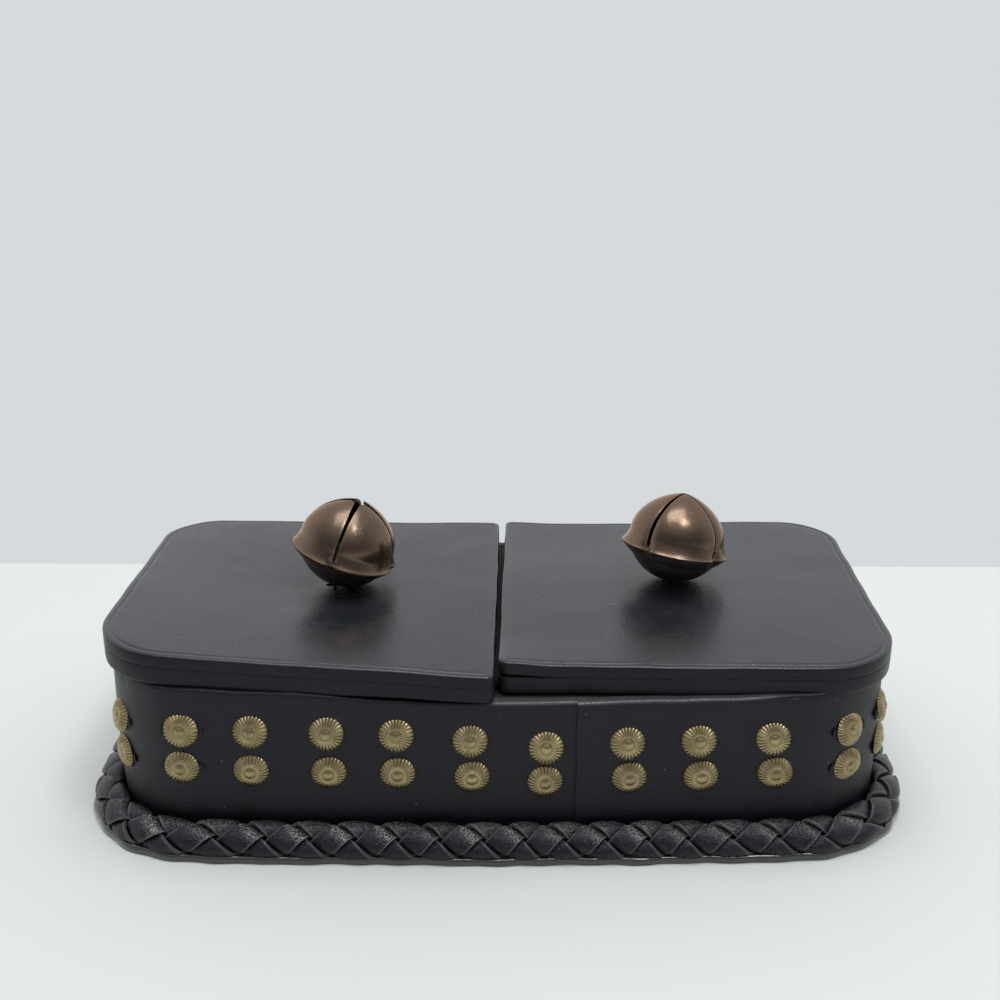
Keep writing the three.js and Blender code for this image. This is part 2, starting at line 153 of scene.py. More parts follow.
# Plait round the foot: a round plait of four laces, pressed flat against wall and sole
plait_turns = 26
plait_centre = 4.9
plait_level = 4.75
plait_half_width = 3.5
plait_half_height = 1.75
plait_tilt_deg = 38
plait_facing_deg = 40
lace_cover_share = 0.83
lace_thickness = 1.0
lace_weave = 1.05
lace_stiffness = 1.6
lace_slack = 0.12
lace_cut_share = (0.82, 0.94)
crossing_steps = 10
# Painted highlight on the laces: its strength from lace to lace, how it fades towards the sides,
# and where it lies past each crest and on the top
highlight_strength_mean = 0.8
highlight_strength_spread = 0.9
highlight_strength_range = (0.35, 1.1)
highlight_strength_end_fade = (94, 104)
highlight_strength_end_share = 0.75
highlight_shift = 0.15
highlight_reach = 0.085
top_highlight_share = 0.45
top_highlight_reach = 0.13

# Where the front row of crossings lies along the plait, from the left corner to the right
front_crossings = (-96.0, -82.8, -68.7, -56.4, -44.4, -32.3, -21.1, -9.8, 2.2)
front_crossings += (12.5, 23.8, 35.1, 45.7, 56.7, 70.0, 81.9, 93.4, 109.3)

# Studs
stud_columns = 30
stud_first_x = -6.8
stud_radius = 4.75
stud_flutes = 26
stud_upper_level = 33.6
stud_lower_level = 22.9
stud_seat = 0.12
stud_tilts_deg = (12, 3)
stud_lean_share = 0.04
stud_nod_share = 0.02
stud_turn_step_deg = 37
stud_bite = 0.08
flute_depth = 0.22
flute_share = 0.022
prong_length = 3.0
prong_width = 1.6
prong_gap = 0.55
prong_rise = 0.12
prong_seat = 0.1

# Where the studs on the front sit: distance along the wall and height, upper then lower
front_studs = {
    27: ((-84.2, 35.1), (-84.7, 23.9)),
    28: ((-65.7, 35.2), (-66.1, 23.3)),
    29: ((-45.5, 35.0), (-45.2, 23.1)),
    30: ((-27.0, 34.5), (-26.8, 22.9)),
    1: ((-7.4, 32.9), (-6.9, 21.9)),
    2: ((12.8, 30.9), (12.7, 20.5)),
    3: ((34.4, 32.0), (35.3, 21.4)),
    4: ((53.5, 32.3), (54.6, 21.5)),
    5: ((73.4, 32.8), (74.6, 22.2)),
    6: ((95.0, 33.2), (95.4, 22.2)),
}

# Lids
under_low, under_high = box_mm("right_lid_under_leather")
top_low, top_high = box_mm("right_lid_top_leather")
leather_thickness = under_high[2] - under_low[2]
lid_top = top_high[2]
lid_width = 109.2
lid_depth = 105
crease_inset = 1.95
crease_half = 0.3
crease_depth = 0.16
curl_reach = 11
dip_reach = 26
dip_x = -28
flat_reach = 24
middle_inset = 50.0

# Where the under leather's hanging edge sets in, and where it ends beside the middle, in y
hang_onset = (45, 5)
hang_end = (-50, -46)

# Each lid in its own frame. Radii and moves go front left, front right, back right, back left.
lids = {
    "left": {
        "sign": -1,
        "turn_deg": -1.0,
        "centre": (-55.4, -1.0),
        "hole": (4.46, 1.32),
        "radii": (23, 2.2, 2.5, 17),
        "moves": ((1.4, 0.4, 4.2), (0.6, -2.2, -0.8), (-0.3, 0.3, 0.5), (-0.4, 0.3, 0.5)),
        "hang": (2.2, 0.9),
        "curl": 0.0,
        "dip": 0.0,
        "bell_lean_deg": 17.4,
        "bell_back_deg": 3.4,
        "slit_turn_deg": -8,
        "slit_foot_width": 0.95,
        "slit_top_width": 2.2,
        "tip_radius": 2.1,
        "overlap": 0.0,
        "notch": 1.5,
    },
    "right": {
        "sign": 1,
        "turn_deg": -0.4,
        "centre": (55.4, 1.5),
        "hole": (-5.2, 1.94),
        "radii": (3.0, 22.5, 17, 2.5),
        "moves": ((-0.4, -0.7, 0), (-1.0, -0.6, -0.2), (0, 0, 0.2), (0.9, 0, 0)),
        "hang": (1.5, 1.3),
        "curl": 1.0,
        "dip": 1.0,
        "bell_lean_deg": 9.6,
        "bell_back_deg": 9.5,
        "slit_turn_deg": -44,
        "slit_foot_width": 1.0,
        "slit_top_width": 0.7,
        "tip_radius": 0.4,
        "overlap": 0.2,
        "notch": 1.7,
    },
}

# Bells
seat_gap = 0.3
shank_wire = 1.4
shank_play = 0.4
bell_radius = 14.8
bell_ridge_radius = 15.85
bell_ridge_height = 10.1
bell_waist_radius = 14.2
bell_waist_height = 13.5
bell_height = 26.8
bell_power = 1.3
bell_wall = 0.9
bell_slit_foot = 10.5
bell_lobe = 0.5
bell_tuck = 0.4
bell_notch_reach = 0.13
petal_merge = 0.02

# Colours, linear
black_leather = (0.0058, 0.0050, 0.0082)
lid_black = (0.0155, 0.0162, 0.0192)
# The lids' sides: a darker copy of the lid leather, painted shade
lid_edge_shaded_black = (0.0122, 0.0130, 0.0156)
lace_black = (0.0062, 0.0046, 0.0068)
sole_black = (0.008, 0.0095, 0.0092)
dust_grey = (0.34, 0.35, 0.36)
# Pale grey of the painted highlight on the laces
painted_highlight_grey = (0.46, 0.43, 0.44)
# Pale grey that lightens burnished edges, a painted sheen
edge_sheen_grey = (0.07, 0.064, 0.070)
brass_light = (0.44, 0.365, 0.20)
brass_dark = (0.19, 0.15, 0.08)
bronze_light = (0.134, 0.089, 0.056)
bronze_dark = (0.060, 0.040, 0.025)
# Near black of the bell's bowl: dark patina with painted shade
bowl_shade_black = (0.085, 0.082, 0.087)
steel_grey = (0.10, 0.094, 0.09)
steel_dark = (0.045, 0.042, 0.04)
# Board colour near black as painted shade, so the wall's top reads black in the gap under the lids
dark_board_shade = (0.016, 0.014, 0.013)
board_fibre = (0.045, 0.038, 0.033)
lining_brown = (0.030, 0.022, 0.020)
lining_pale = (0.060, 0.046, 0.041)
# Near black of painted shade, in a prong's slit and inside a bell
painted_shade_black = (0.004, 0.004, 0.004)
floor_white = (0.705, 0.742, 0.722)
backdrop_white = (0.672, 0.70, 0.715)
room_dim = (0.24, 0.24, 0.255)
room_bright = (0.88, 0.89, 0.91)

# Setting, in metres: each lamp's place, target, size, power and tint
floor_reach = 3.0
backdrop_y = 0.139
lamps = {
    "overhead": ((0.0, 0.05, 1.2), (0, 0, 0), (0.75, 0.6), 5.6, (1.0, 0.99, 0.97)),
    "front_fill": ((0.35, -0.34, 1.2), (0, 0, 0.02), (0.3, 0.25), 2.7, (0.98, 0.99, 1.0)),
}


# Shader helpers
class Shader:
    """A node tree with short calls for adding and joining its nodes."""

    def __init__(self, tree):
        self.tree = tree

    def join(self, socket, value):
        if isinstance(value, bpy.types.NodeSocket):
            self.tree.links.new(value, socket)
        elif isinstance(value, tuple) and len(value) == 3 and socket.type == "RGBA":
            socket.default_value = (*value, 1)
        else:
            socket.default_value = value

    def add(self, kind, inputs=None, **settings):
        made = self.tree.nodes.new(kind)
        for key, value in settings.items():
            setattr(made, key, value)
        for key, value in (inputs or {}).items():
            self.join(made.inputs[key], value)
        return made

    def math(self, operation, first, second):
        made = self.add("ShaderNodeMath", {0: first, 1: second}, operation=operation)
        return made.outputs[0]

    def times(self, first, second):
        return self.math("MULTIPLY", first, second)

    def rest(self, value):
        return self.math("SUBTRACT", 1.0, value)

    def blend(self, first, first_share, second, second_share):
        """The sum of two values, each times its share."""
        return self.math("ADD", self.times(first, first_share), self.times(second, second_share))

    def mix(self, factor, first, second):
        made = self.add("ShaderNodeMix", data_type="RGBA")
        for key, value in ((0, factor), (6, first), (7, second)):
            self.join(made.inputs[key], value)
        return made.outputs[2]

    def over(self, base, colour, value, share):
        """The base with a colour laid over it, as much as the value times its share."""
        return self.mix(self.times(value, share), base, colour)

    def ramp(self, value, low, high):
        """0 at low, 1 at high, smooth between."""
        inputs = {"Value": value, "From Min": low, "From Max": high}
        made = self.add("ShaderNodeMapRange", inputs, interpolation_type="SMOOTHSTEP")
        return made.outputs["Result"]

    def spread(self, value, low, high):
        """A value from 0 to 1 stretched to run from low to high."""
        inputs = {"Value": value, "To Min": low, "To Max": high}
        return self.add("ShaderNodeMapRange", inputs).outputs["Result"]

    def noise(self, place, scale, detail, roughness):
        inputs = {"Vector": place, "Scale": scale, "Detail": detail, "Roughness": roughness}
        return self.add("ShaderNodeTexNoise", inputs).outputs["Fac"]

    def cells(self, place, scale, feature="F1"):
        inputs = {"Vector": place, "Scale": scale}
        return self.add("ShaderNodeTexVoronoi", inputs, feature=feature).outputs

    def carried(self, name):
        """A value that the mesh carries at its points."""
        return self.add("ShaderNodeAttribute", attribute_name=name).outputs["Fac"]

    def bump(self, height, distance, strength, normal=None):
        inputs = {"Height": height, "Distance": distance, "Strength": strength}
        if normal is not None:
            inputs["Normal"] = normal
        return self.add("ShaderNodeBump", inputs).outputs["Normal"]

    def use(self, tree, **inputs):
        """The outputs of a group set in this tree."""
        return self.add("ShaderNodeGroup", inputs, node_tree=tree).outputs


def new_group(name, inputs, outputs):
    tree = bpy.data.node_groups.new(name, "ShaderNodeTree")
    for label, value in inputs.items():
        kind = "NodeSocketVector" if value is None else "NodeSocketFloat"
        socket = tree.interface.new_socket(name=label, in_out="INPUT", socket_type=kind)
        if value is not None:
            socket.default_value = value
    for label in outputs:
        tree.interface.new_socket(name=label, in_out="OUTPUT", socket_type="NodeSocketFloat")
    shader = Shader(tree)
    ways_in = shader.add("NodeGroupInput").outputs
    ways_out = shader.add("NodeGroupOutput").inputs
    return shader, ways_in, ways_out


def make_grain_group():
    """Pebbled leather: rounded cells of uneven size with fine pores between them."""
    shader, given, result = new_group(
        "pebbled grain", {"Place": None, "Cells": 900.0, "Pores": 4200.0}, ["Height"]
    )
    sway = shader.add("ShaderNodeTexNoise", {"Vector": given["Place"], "Scale": 260.0})
    inputs = {0: sway.outputs["Color"], 1: (0.0016, 0.0016, 0.0016), 2: given["Place"]}
    moved = shader.add("ShaderNodeVectorMath", inputs, operation="MULTIPLY_ADD").outputs[0]
    cells = shader.cells(moved, given["Cells"], "DISTANCE_TO_EDGE")
    domes = shader.ramp(cells["Distance"], 0.0, 0.22)
    pores = shader.noise(given["Place"], given["Pores"], 3.0, 0.6)
    shader.join(result["Height"], shader.blend(domes, 0.7, pores, 0.5))
    return shader.tree


def make_cloud_group():
    """Slow changes of tone over the surface, from broad clouds with finer ones on them."""
    shader, given, result = new_group("clouded tone", {"Place": None, "Size": 30.0}, ["Tone"])
    broad = shader.noise(given["Place"], given["Size"], 4.0, 0.6)
    fine = shader.noise(given["Place"], shader.times(given["Size"], 9.0), 5.0, 0.7)
    shader.join(result["Tone"], shader.ramp(shader.blend(broad, 0.7, fine, 0.3), 0.36, 0.64))
    return shader.tree


def make_dust_group():
    """Small pale specks and short hairline scratches, thinly scattered."""
    shader, given, result = new_group(
        "dust and scratches", {"Place": None, "Specks": 260.0, "Amount": 0.5}, ["Dust", "Scratches"]
    )
    inputs = {"Vector": given["Place"], "Rotation": (0.3, 0.2, 0.5), "Scale": (1.0, 14.0, 14.0)}
    stretched = shader.add("ShaderNodeMapping", inputs).outputs[0]
    # Each kind's place, scale, channel that picks it, share of cells, and reach from full to none
    kinds = {
        "Dust": (given["Place"], given["Specks"], 0, 0.3, 0.015, 0.06),
        "Scratches": (stretched, 42.0, 1, 0.12, 0.02, 0.09),
    }
    for name, (place, scale, channel, share, full, none) in kinds.items():
        cells = shader.cells(place, scale)
        chance = shader.add("ShaderNodeSeparateColor", {0: cells["Color"]}).outputs[channel]
        chosen = shader.math("LESS_THAN", chance, shader.times(given["Amount"], share))
        mark = shader.rest(shader.ramp(cells["Distance"], full, none))
        shader.join(result[name], shader.times(chosen, mark))
    return shader.tree


def make_tarnish_group():
    """Old metal: dull patches, small pits and a darker tone where a hollow holds dirt."""
    shader, given, result = new_group(
        "tarnish", {"Place": None, "Patches": 160.0, "Hollow": 0.0}, ["Tarnish", "Pits"]
    )
    dull = shader.ramp(shader.noise(given["Place"], given["Patches"], 5.0, 0.62), 0.38, 0.66)
    dirt = shader.math("MAXIMUM", shader.times(dull, 0.6), given["Hollow"])
    shader.join(result["Tarnish"], dirt)
    specks = shader.noise(given["Place"], shader.times(given["Patches"], 16.0), 3.0, 0.6)
    shader.join(result["Pits"], shader.ramp(specks, 0.52, 0.72))
    return shader.tree


grain_group = make_grain_group()
cloud_group = make_cloud_group()
dust_group = make_dust_group()
tarnish_group = make_tarnish_group()


def tinted(colour, shares):
    return tuple(part * share for part, share in zip(colour, shares))


def new_material(name):
    """A material, its shader and the place on the piece, in metres."""
    material = bpy.data.materials.new(name)
    material.use_nodes = True
    shader = Shader(material.node_tree)
    return material, shader, shader.add("ShaderNodeTexCoord").outputs["Object"]


def finished(material, shader, colour, roughness, normal=None, **others):
    """The material with the inputs of its surface set."""
    values = {"Base Color": colour, "Roughness": roughness, **others}
    if normal is not None:
        values["Normal"] = normal
    surface = material.node_tree.nodes["Principled BSDF"]
    for key, value in values.items():
        shader.join(surface.inputs[key], value)
    return material


def make_leather(
    name, colour, cloud, rough, grain, cells, dust, sheen, shine, wear_and_highlight=False, waxed=False
):
    """Black dyed leather. Where the mesh carries an edge value it is burnished: glossier, and
    lightened towards a pale grey as painted sheen. When asked for, pale specks are laid on as a
    painted highlight where the mesh carries a painted highlight value."""
    material, shader, place = new_material(name)
    tone = shader.use(cloud_group, Place=place, Size=cloud)["Tone"]
    specks = shader.use(dust_group, Place=place, Specks=270.0, Amount=dust)
    pebbles = shader.use(grain_group, Place=place, Cells=cells, Pores=cells * 4.6)
    edge = shader.carried("edge")
    warm, cool = tinted(colour, (1.35, 1.2, 1.25)), tinted(colour, (0.72, 0.86, 0.84))
    # Edges lightened as painted sheen, as much as each leather's sheen of edges
    base = shader.over(shader.mix(tone, cool, warm), edge_sheen_grey, edge, sheen)
    if wear_and_highlight:
        # Painted highlight: pale specks where light would catch the laces
        grit = shader.ramp(shader.noise(place, 2600.0, 3.0, 0.6), 0.47, 0.60)
        base = shader.over(base, painted_highlight_grey, shader.times(shader.carried("painted_highlight"), grit), 0.9)
    base = shader.over(base, dust_grey, specks["Scratches"], 0.35)
    base = shader.over(base, dust_grey, specks["Dust"], 0.8)
    dull = shader.spread(tone, rough - 0.05, rough + 0.07)
    dull = shader.math("SUBTRACT", dull, shader.times(edge, 0.12))
    fine = shader.bump(pebbles["Height"], 0.00012, grain)
    scored = shader.bump(specks["Scratches"], 0.0001, 0.5, fine)
    others = {"Specular IOR Level": shine, "Specular Tint": (0.94, 0.90, 1.0)}
    if waxed:
        others.update({"Coat Weight": 1.0, "Coat Roughness": 0.09})
    return finished(material, shader, base, dull, scored, **others)


def make_brass():
    """Stamped brass gone dull, with dirt in the flutes and bright ridges that use has polished."""
    material, shader, place = new_material("aged brass")
    wear_and_highlight = shader.use(tarnish_group, Place=place, Patches=210.0, Hollow=shader.carried("hollow"))
    tone = shader.use(cloud_group, Place=place, Size=70.0)["Tone"]
    base = shader.mix(tone, brass_light, tinted(brass_light, (0.94, 0.86, 0.84)))
    base = shader.mix(wear_and_highlight["Tarnish"], base, brass_dark)
    base = shader.over(base, steel_dark, wear_and_highlight["Pits"], 0.35)
    dull = shader.spread(wear_and_highlight["Tarnish"], 0.24, 0.46)
    pitted = shader.bump(wear_and_highlight["Pits"], 0.00004, 0.5)
    return finished(material, shader, base, dull, pitted, Metallic=1.0)


def make_bronze(name, share):
    """Bell metal with a brown skin, paler along the slit edges, with a painted highlight along the
    ridge, and nearly black in the bowl from dark patina and painted shade. A share below 1 darkens
    all of it, as painted shade."""
    material, shader, place = new_material(name)
    bowl = shader.carried("bowl")
    wear_and_highlight = shader.use(tarnish_group, Place=place, Patches=85.0, Hollow=0.0)
    tone = shader.use(cloud_group, Place=place, Size=55.0)["Tone"]
    base = shader.mix(tone, bronze_light, tinted(bronze_light, (1.0, 0.92, 0.90)))
    base = shader.over(base, bronze_dark, wear_and_highlight["Tarnish"], 0.8)
    # A painted highlight along the ridge, and paler slit edges
    base = shader.over(base, tinted(bronze_light, (1.9, 1.9, 1.9)), shader.carried("edge"), 0.6)
    # The bowl darkened: dark patina, and painted shade on the underside that faces the lid
    base = shader.over(base, bowl_shade_black, bowl, 0.8)
    # Darkened towards near black by the share, as painted shade
    base = shader.mix(1.0 - share, base, painted_shade_black)
    dull = shader.math("ADD", shader.spread(wear_and_highlight["Tarnish"], 0.24, 0.4), shader.times(bowl, 0.3))
    pitted = shader.bump(wear_and_highlight["Pits"], 0.00005, 0.6)
    others = {"Metallic": 1.0, "Coat Weight": 0.65, "Coat Roughness": 0.19}
    others["Specular Tint"] = (0.80, 0.58, 0.42)
    return finished(material, shader, base, dull, pitted, **others)


def make_steel():
    material, shader, place = new_material("dull wire")
    wear_and_highlight = shader.use(tarnish_group, Place=place, Patches=300.0, Hollow=0.0)
    base = shader.mix(wear_and_highlight["Tarnish"], steel_grey, steel_dark)
    dull = shader.spread(wear_and_highlight["Tarnish"], 0.35, 0.6)
    pitted = shader.bump(wear_and_highlight["Pits"], 0.00004, 0.4)
    return finished(material, shader, base, dull, pitted, Metallic=1.0)


def make_board(name, dark, pale, size, rough):
    """Pressed fibre board or felted lining: short fibres that lie every way."""
    material, shader, place = new_material(name)
    tone = shader.use(cloud_group, Place=place, Size=size)["Tone"]
    along = shader.add("ShaderNodeMapping", {"Vector": place, "Scale": (1.0, 6.0, 2.0)}).outputs[0]
    fibres = shader.noise(along, size * 30.0, 6.0, 0.75)
    picked = shader.ramp(fibres, 0.45, 0.75)
    base = shader.mix(picked, shader.mix(tone, dark, tinted(dark, (1.4, 1.4, 1.4))), pale)
    dull = shader.spread(picked, rough, rough + 0.1)
    return finished(material, shader, base, dull, shader.bump(fibres, 0.0002, 0.6))


def make_slot_shade_material():
    """A near black finish for the cut in the leather and the prong that sits in it: painted shade.
    """
    material, shader, place = new_material("prong slot shade")
    grit = shader.noise(place, 2500.0, 3.0, 0.6)
    base = shader.mix(grit, painted_shade_black, black_leather)
    return finished(material, shader, base, shader.spread(grit, 0.6, 0.85))


# Each leather's clouds, roughness, grain, cells to the metre, dust, painted sheen of edges and
# shine
wrap_leather = make_leather("wrap leather", black_leather, 38.0, 0.45, 0.35, 820.0, 0.9, 1.0, 0.36)
lid_leather = make_leather("lid leather", lid_black, 30.0, 0.27, 0.22, 760.0, 0.9, 0.0, 0.53)
# The lids' sides: darker than the lid leather as painted shade; their lower shine and higher
# roughness are the cut edge's own
lid_edge_shaded = make_leather("lid edge shaded", lid_edge_shaded_black, 30.0, 0.38, 0.22, 760.0, 0.9, 0.0, 0.2)
# The laces carry a painted highlight
lace_leather = make_leather(
    "lace leather", lace_black, 60.0, 0.28, 0.7, 1500.0, 0.3, 1.0, 0.42, wear_and_highlight=True
)
sole_leather = make_leather(
    "sole leather", sole_black, 45.0, 0.18, 0.15, 700.0, 0.2, 0.3, 0.5, waxed=True
)
brass = make_brass()
bronze = make_bronze("bell bronze", 1.0)
# The shell's inner face is darkened as painted shade
bell_inside_shade = make_bronze("bell inside shade", 0.15)
steel = make_steel()
# The board is near black as painted shade, for the gap under the lids
board = make_board("dark board", dark_board_shade, board_fibre, 50.0, 0.75)
lining = make_board("felted lining", lining_brown, lining_pale, 90.0, 0.88)
prong_slot_shade = make_slot_shade_material()


# Mesh helpers
def put(name, data):
    """An object of this data, in the scene."""
    made = bpy.data.objects.new(name, data)
    bpy.context.scene.collection.objects.link(made)
    return made


def new_piece(name, points, faces, finish, sharp_deg=38, values=None):
    """A closed mesh from points in millimetres, with values carried at its points."""
    mesh = bpy.data.meshes.new(name)
    mesh.from_pydata((np.asarray(points, dtype=float) * mm).tolist(), [], faces)
    for key, numbers in (values or {}).items():
        layer = mesh.attributes.new(key, "FLOAT", "POINT")
        layer.data.foreach_set("value", np.asarray(numbers, dtype=np.float32))
    face_outward(mesh)
    shade(mesh, sharp_deg)
    mesh.materials.append(finish)
    return put(name, mesh)


def face_outward(mesh, merge_within=None):
    """Turn all faces outward, after points that lie so close together are made one."""
    made = bmesh.new()
    made.from_mesh(mesh)
    if merge_within:
        bmesh.ops.remove_doubles(made, verts=made.verts, dist=merge_within)
    bmesh.ops.recalc_face_normals(made, faces=made.faces)
    made.to_mesh(mesh)
    made.free()


def shade(mesh, sharp_deg):
    mesh.shade_smooth()
    mesh.set_sharp_from_angle(angle=math.radians(sharp_deg))


def add_finish(piece, finish, values):
    """A second finish on the faces whose points carry more than half of the value."""
    piece.data.materials.append(finish)
    faces = piece.data.polygons
    chosen = [int(np.mean(values[list(face.vertices)]) > 0.5) for face in faces]
    faces.foreach_set("material_index", chosen)


def settle_modifiers(piece, sharp_deg):
    """The piece's mesh becomes what its modifiers make of it."""
    graph = bpy.context.evaluated_depsgraph_get()
    made = bpy.data.meshes.new_from_object(piece.evaluated_get(graph))
    piece.modifiers.clear()
    piece.data = made
    shade(made, sharp_deg)


def grid_faces(rows, columns, close_rows=False, close_columns=False):
    """Quads between points that run row by row."""
    faces = []
    for i in range(rows if close_rows else rows - 1):
        for j in range(columns if close_columns else columns - 1):
            here, there = i * columns, ((i + 1) % rows) * columns
            beside = (j + 1) % columns
            faces.append((here + j, here + beside, there + beside, there + j))
    return faces


def uneven(points, size, depth, seed):
    """A smooth random height at each point, at most about the depth."""
    shift = Vector((seed * 7.3, seed * 3.1, seed * 5.7))
    return depth * np.array([noise.noise(Vector(p) / size + shift) for p in points])


def ring_faces(rows, columns):
    """Quads between closed rings of points, with the first and the last ring filled."""
    last = (rows - 1) * columns
    ends = [tuple(range(columns)), tuple(range(last, last + columns))]
    return grid_faces(rows, columns, close_columns=True) + ends


def shifted(faces, start):
    """The same faces between points that are listed so much later."""
    return [tuple(start + v for v in face) for face in faces]


def joined(*parts):
    """The parts side by side, as coordinates or values of points."""
    return np.stack(np.broadcast_arrays(*parts), -1)


def hump(offset, reach):
    """1 at no offset, falling away on both sides."""
    return np.exp(-((offset / reach) ** 2))


def smooth_step(low, high, value):
    share = np.clip((value - low) / (high - low), 0, 1)
    return share * share * (3 - 2 * share)


def path_spots(distance, gauge=0.0):
    """Bend centres and outward directions at distances along the body's outline.
    The distance is measured at the gauge's offset, from the middle of the front towards +X."""
    half_x = body_width / 2 - body_corner
    half_y = body_depth / 2 - body_corner
    arc = math.pi / 2 * (body_corner + gauge)
    runs = [half_x, arc, 2 * half_y, arc, 2 * half_x, arc, 2 * half_y, arc, half_x]
    marks = np.concatenate([[0], np.cumsum(runs)])
    along = np.mod(distance, marks[-1])
    x = np.interp(along, marks, half_x * np.array([0, 1, 1, 1, 1, -1, -1, -1, -1, 0]))
    y = np.interp(along, marks, half_y * np.array([-1, -1, -1, 1, 1, 1, 1, -1, -1, -1]))
    angle = np.interp(along, marks, math.pi / 2 * np.array([0, 0, 1, 1, 2, 2, 3, 3, 4, 4]))
    return joined(x, y), joined(np.sin(angle), -np.cos(angle)), marks[-1]


def standing(distance, reach, height, gauge=0.0):
    """Points so far out from the outline's bend centres, at distances along it."""
    foot, out, _ = path_spots(distance, gauge)
    flat = foot + out * reach[:, None]
    return joined(flat[:, 0], flat[:, 1], height)


def swollen(points, share=1.0):
    """The points moved as the body's sides belly out, most in the middle of each side."""
    points = np.array(points, dtype=float)
    x, y = points[..., 0].copy(), points[..., 1].copy()
    middle = np.maximum(0, 1 - (x / front_swell_reach) ** 2)
    front = smooth_step(*front_swell_onset, y)
    back = smooth_step(*back_swell_onset, y)
    points[..., 1] -= share * front * (front_swell * middle - front_slant_share * x)
    points[..., 1] += share * back * back_swell * middle
    side = np.maximum(0, 1 - (y / side_swell_reach) ** 2)
    side *= smooth_step(*side_swell_onset, np.abs(x))
    points[..., 0] += share * np.sign(x) * side * side_swell
    return points


def rim_dip(points):
    """How far the rim sags at each place, in the middle of the front and of the right back.
    Towards the ends of the front it stands a little higher instead."""
    x, y = points[..., 0], points[..., 1]
    front = smooth_step(*rim_dip_front_onset, y) * np.maximum(0, 1 - (x / rim_dip_reach) ** 2)
    back = smooth_step(*rim_dip_back_onset, y) * hump(x - rim_dip_back_x, rim_dip_back_reach)
    rise = rim_rise_left * smooth_step(*rim_rise_left_onset, x)
    rise += rim_rise_right * smooth_step(*rim_rise_right_onset, x)
    rise *= smooth_step(*rim_rise_front_onset, y)
    return rim_dip_front * front + rim_dip_back * back - rise


def band_section(inner, outer, low, high, radii, side_steps):
    """A standing band's section as offset and height, round at its four edges.
    Radii go low outer, high outer, high inner, low inner."""
    corners = [(outer, low, -90), (outer, high, 0), (inner, high, 90), (inner, low, 180)]
    points = []
    for (offset, height, start), radius in zip(corners, radii):
        centre_x = offset - radius * (1 if offset == outer else -1)
        centre_z = height - radius * (1 if height == high else -1)
        for angle in np.radians(start + 22.5 * np.arange(5)):
            spot = (centre_x + radius * math.cos(angle), centre_z + radius * math.sin(angle))
            points.append(np.array(spot))
    section = []
    for k, point in enumerate(points):
        section.append(point)
        if k in (4, 14):
            for share in np.arange(1, side_steps) / side_steps:
                section.append(point * (1 - share) + points[k + 1] * share)
    return np.array(section)


# Body
def make_wrap():
    """The wrap as one band from its lapped edge right round to where it dives under the lap."""
    section = band_section(-wrap_thickness, 0, foot_level, rim_level, (0.4, 0.95, 0.7, 0.3), 16)
    total = path_spots(0)[2]
    from_lap = np.repeat(np.linspace(0, total, wrap_sections), len(section))
    offset, height = np.tile(section, (wrap_sections, 1)).T
    wobble = uneven(joined(height, 0, 0), *lap_wobble, 3)
    distance = lap_x + from_lap + np.exp(-from_lap / lap_wobble_fade) * wobble
    skin = smooth_step(-1.2, -0.2, offset)
    bulge = wrap_belly * np.sin(math.pi * (height - foot_level) / (rim_level - foot_level))
    lap = lap_step * np.exp(-from_lap / lap_fade) * smooth_step(total, total - 1, from_lap)
    plain = standing(distance, body_corner + offset, height)
    rough = uneven(plain, *wrap_clouds, 1) + uneven(plain, *wrap_ripple, 2)
    points = standing(distance, body_corner + offset + skin * (bulge + lap + rough), height)
    wave = uneven(points * np.array([1, 1, 0]), *rim_wobble, 5)
    sag = rim_dip(points) + wave + rim_wobble[1]
    points[:, 2] -= smooth_step(sag_from_level, rim_level, height) * sag
    points = swollen(points)
    # The rim's front edge gets a painted highlight, carried as its edge value, on the front only
    start, full, fading, end = rim_highlight_span
    wear_and_highlight = smooth_step(start, full, points[:, 0]) * smooth_step(end, fading, points[:, 0])
    edge = smooth_step(rim_level - 0.8, rim_level - 0.1, height) * wear_and_highlight * rim_highlight_share
    edge = edge * smooth_step(-45, -50, points[:, 1])
    faces = grid_faces(wrap_sections, len(section), close_rows=True, close_columns=True)
    piece = new_piece("wrap", points, faces, wrap_leather, 40, {"edge": edge})
    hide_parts("outer_wrap")
    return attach(piece, "box")


def make_inner_wall():
    """The stiff wall inside the wrap. Its outside follows the wrap's swelling."""
    inner = wall_offset - wall_thickness
    radii = (0.2, 0.35, 0.45, 0.2)
    section = band_section(inner, wall_offset, wall_low[2], wall_high[2] - 0.25, radii, 6)
    stations = np.linspace(0, path_spots(0)[2], wall_sections, endpoint=False)
    distance = np.repeat(stations, len(section))
    offset, height = np.tile(section, (wall_sections, 1)).T
    points = standing(distance, body_corner + offset, height)
    sag = rim_dip(points) + uneven(points, *wall_wobble, 6) + wall_drop
    points[:, 2] -= smooth_step(sag_from_level, rim_level, height) * sag
    outside = (offset > inner + wall_thickness / 2)[:, None]
    points = np.where(outside, swollen(points), swollen(points, wall_swell_share))
    faces = grid_faces(wall_sections, len(section), close_rows=True, close_columns=True)
    piece = new_piece("stiff_wall", points, faces, board, 40)
    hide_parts("inner_wall")
    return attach(piece, "box")


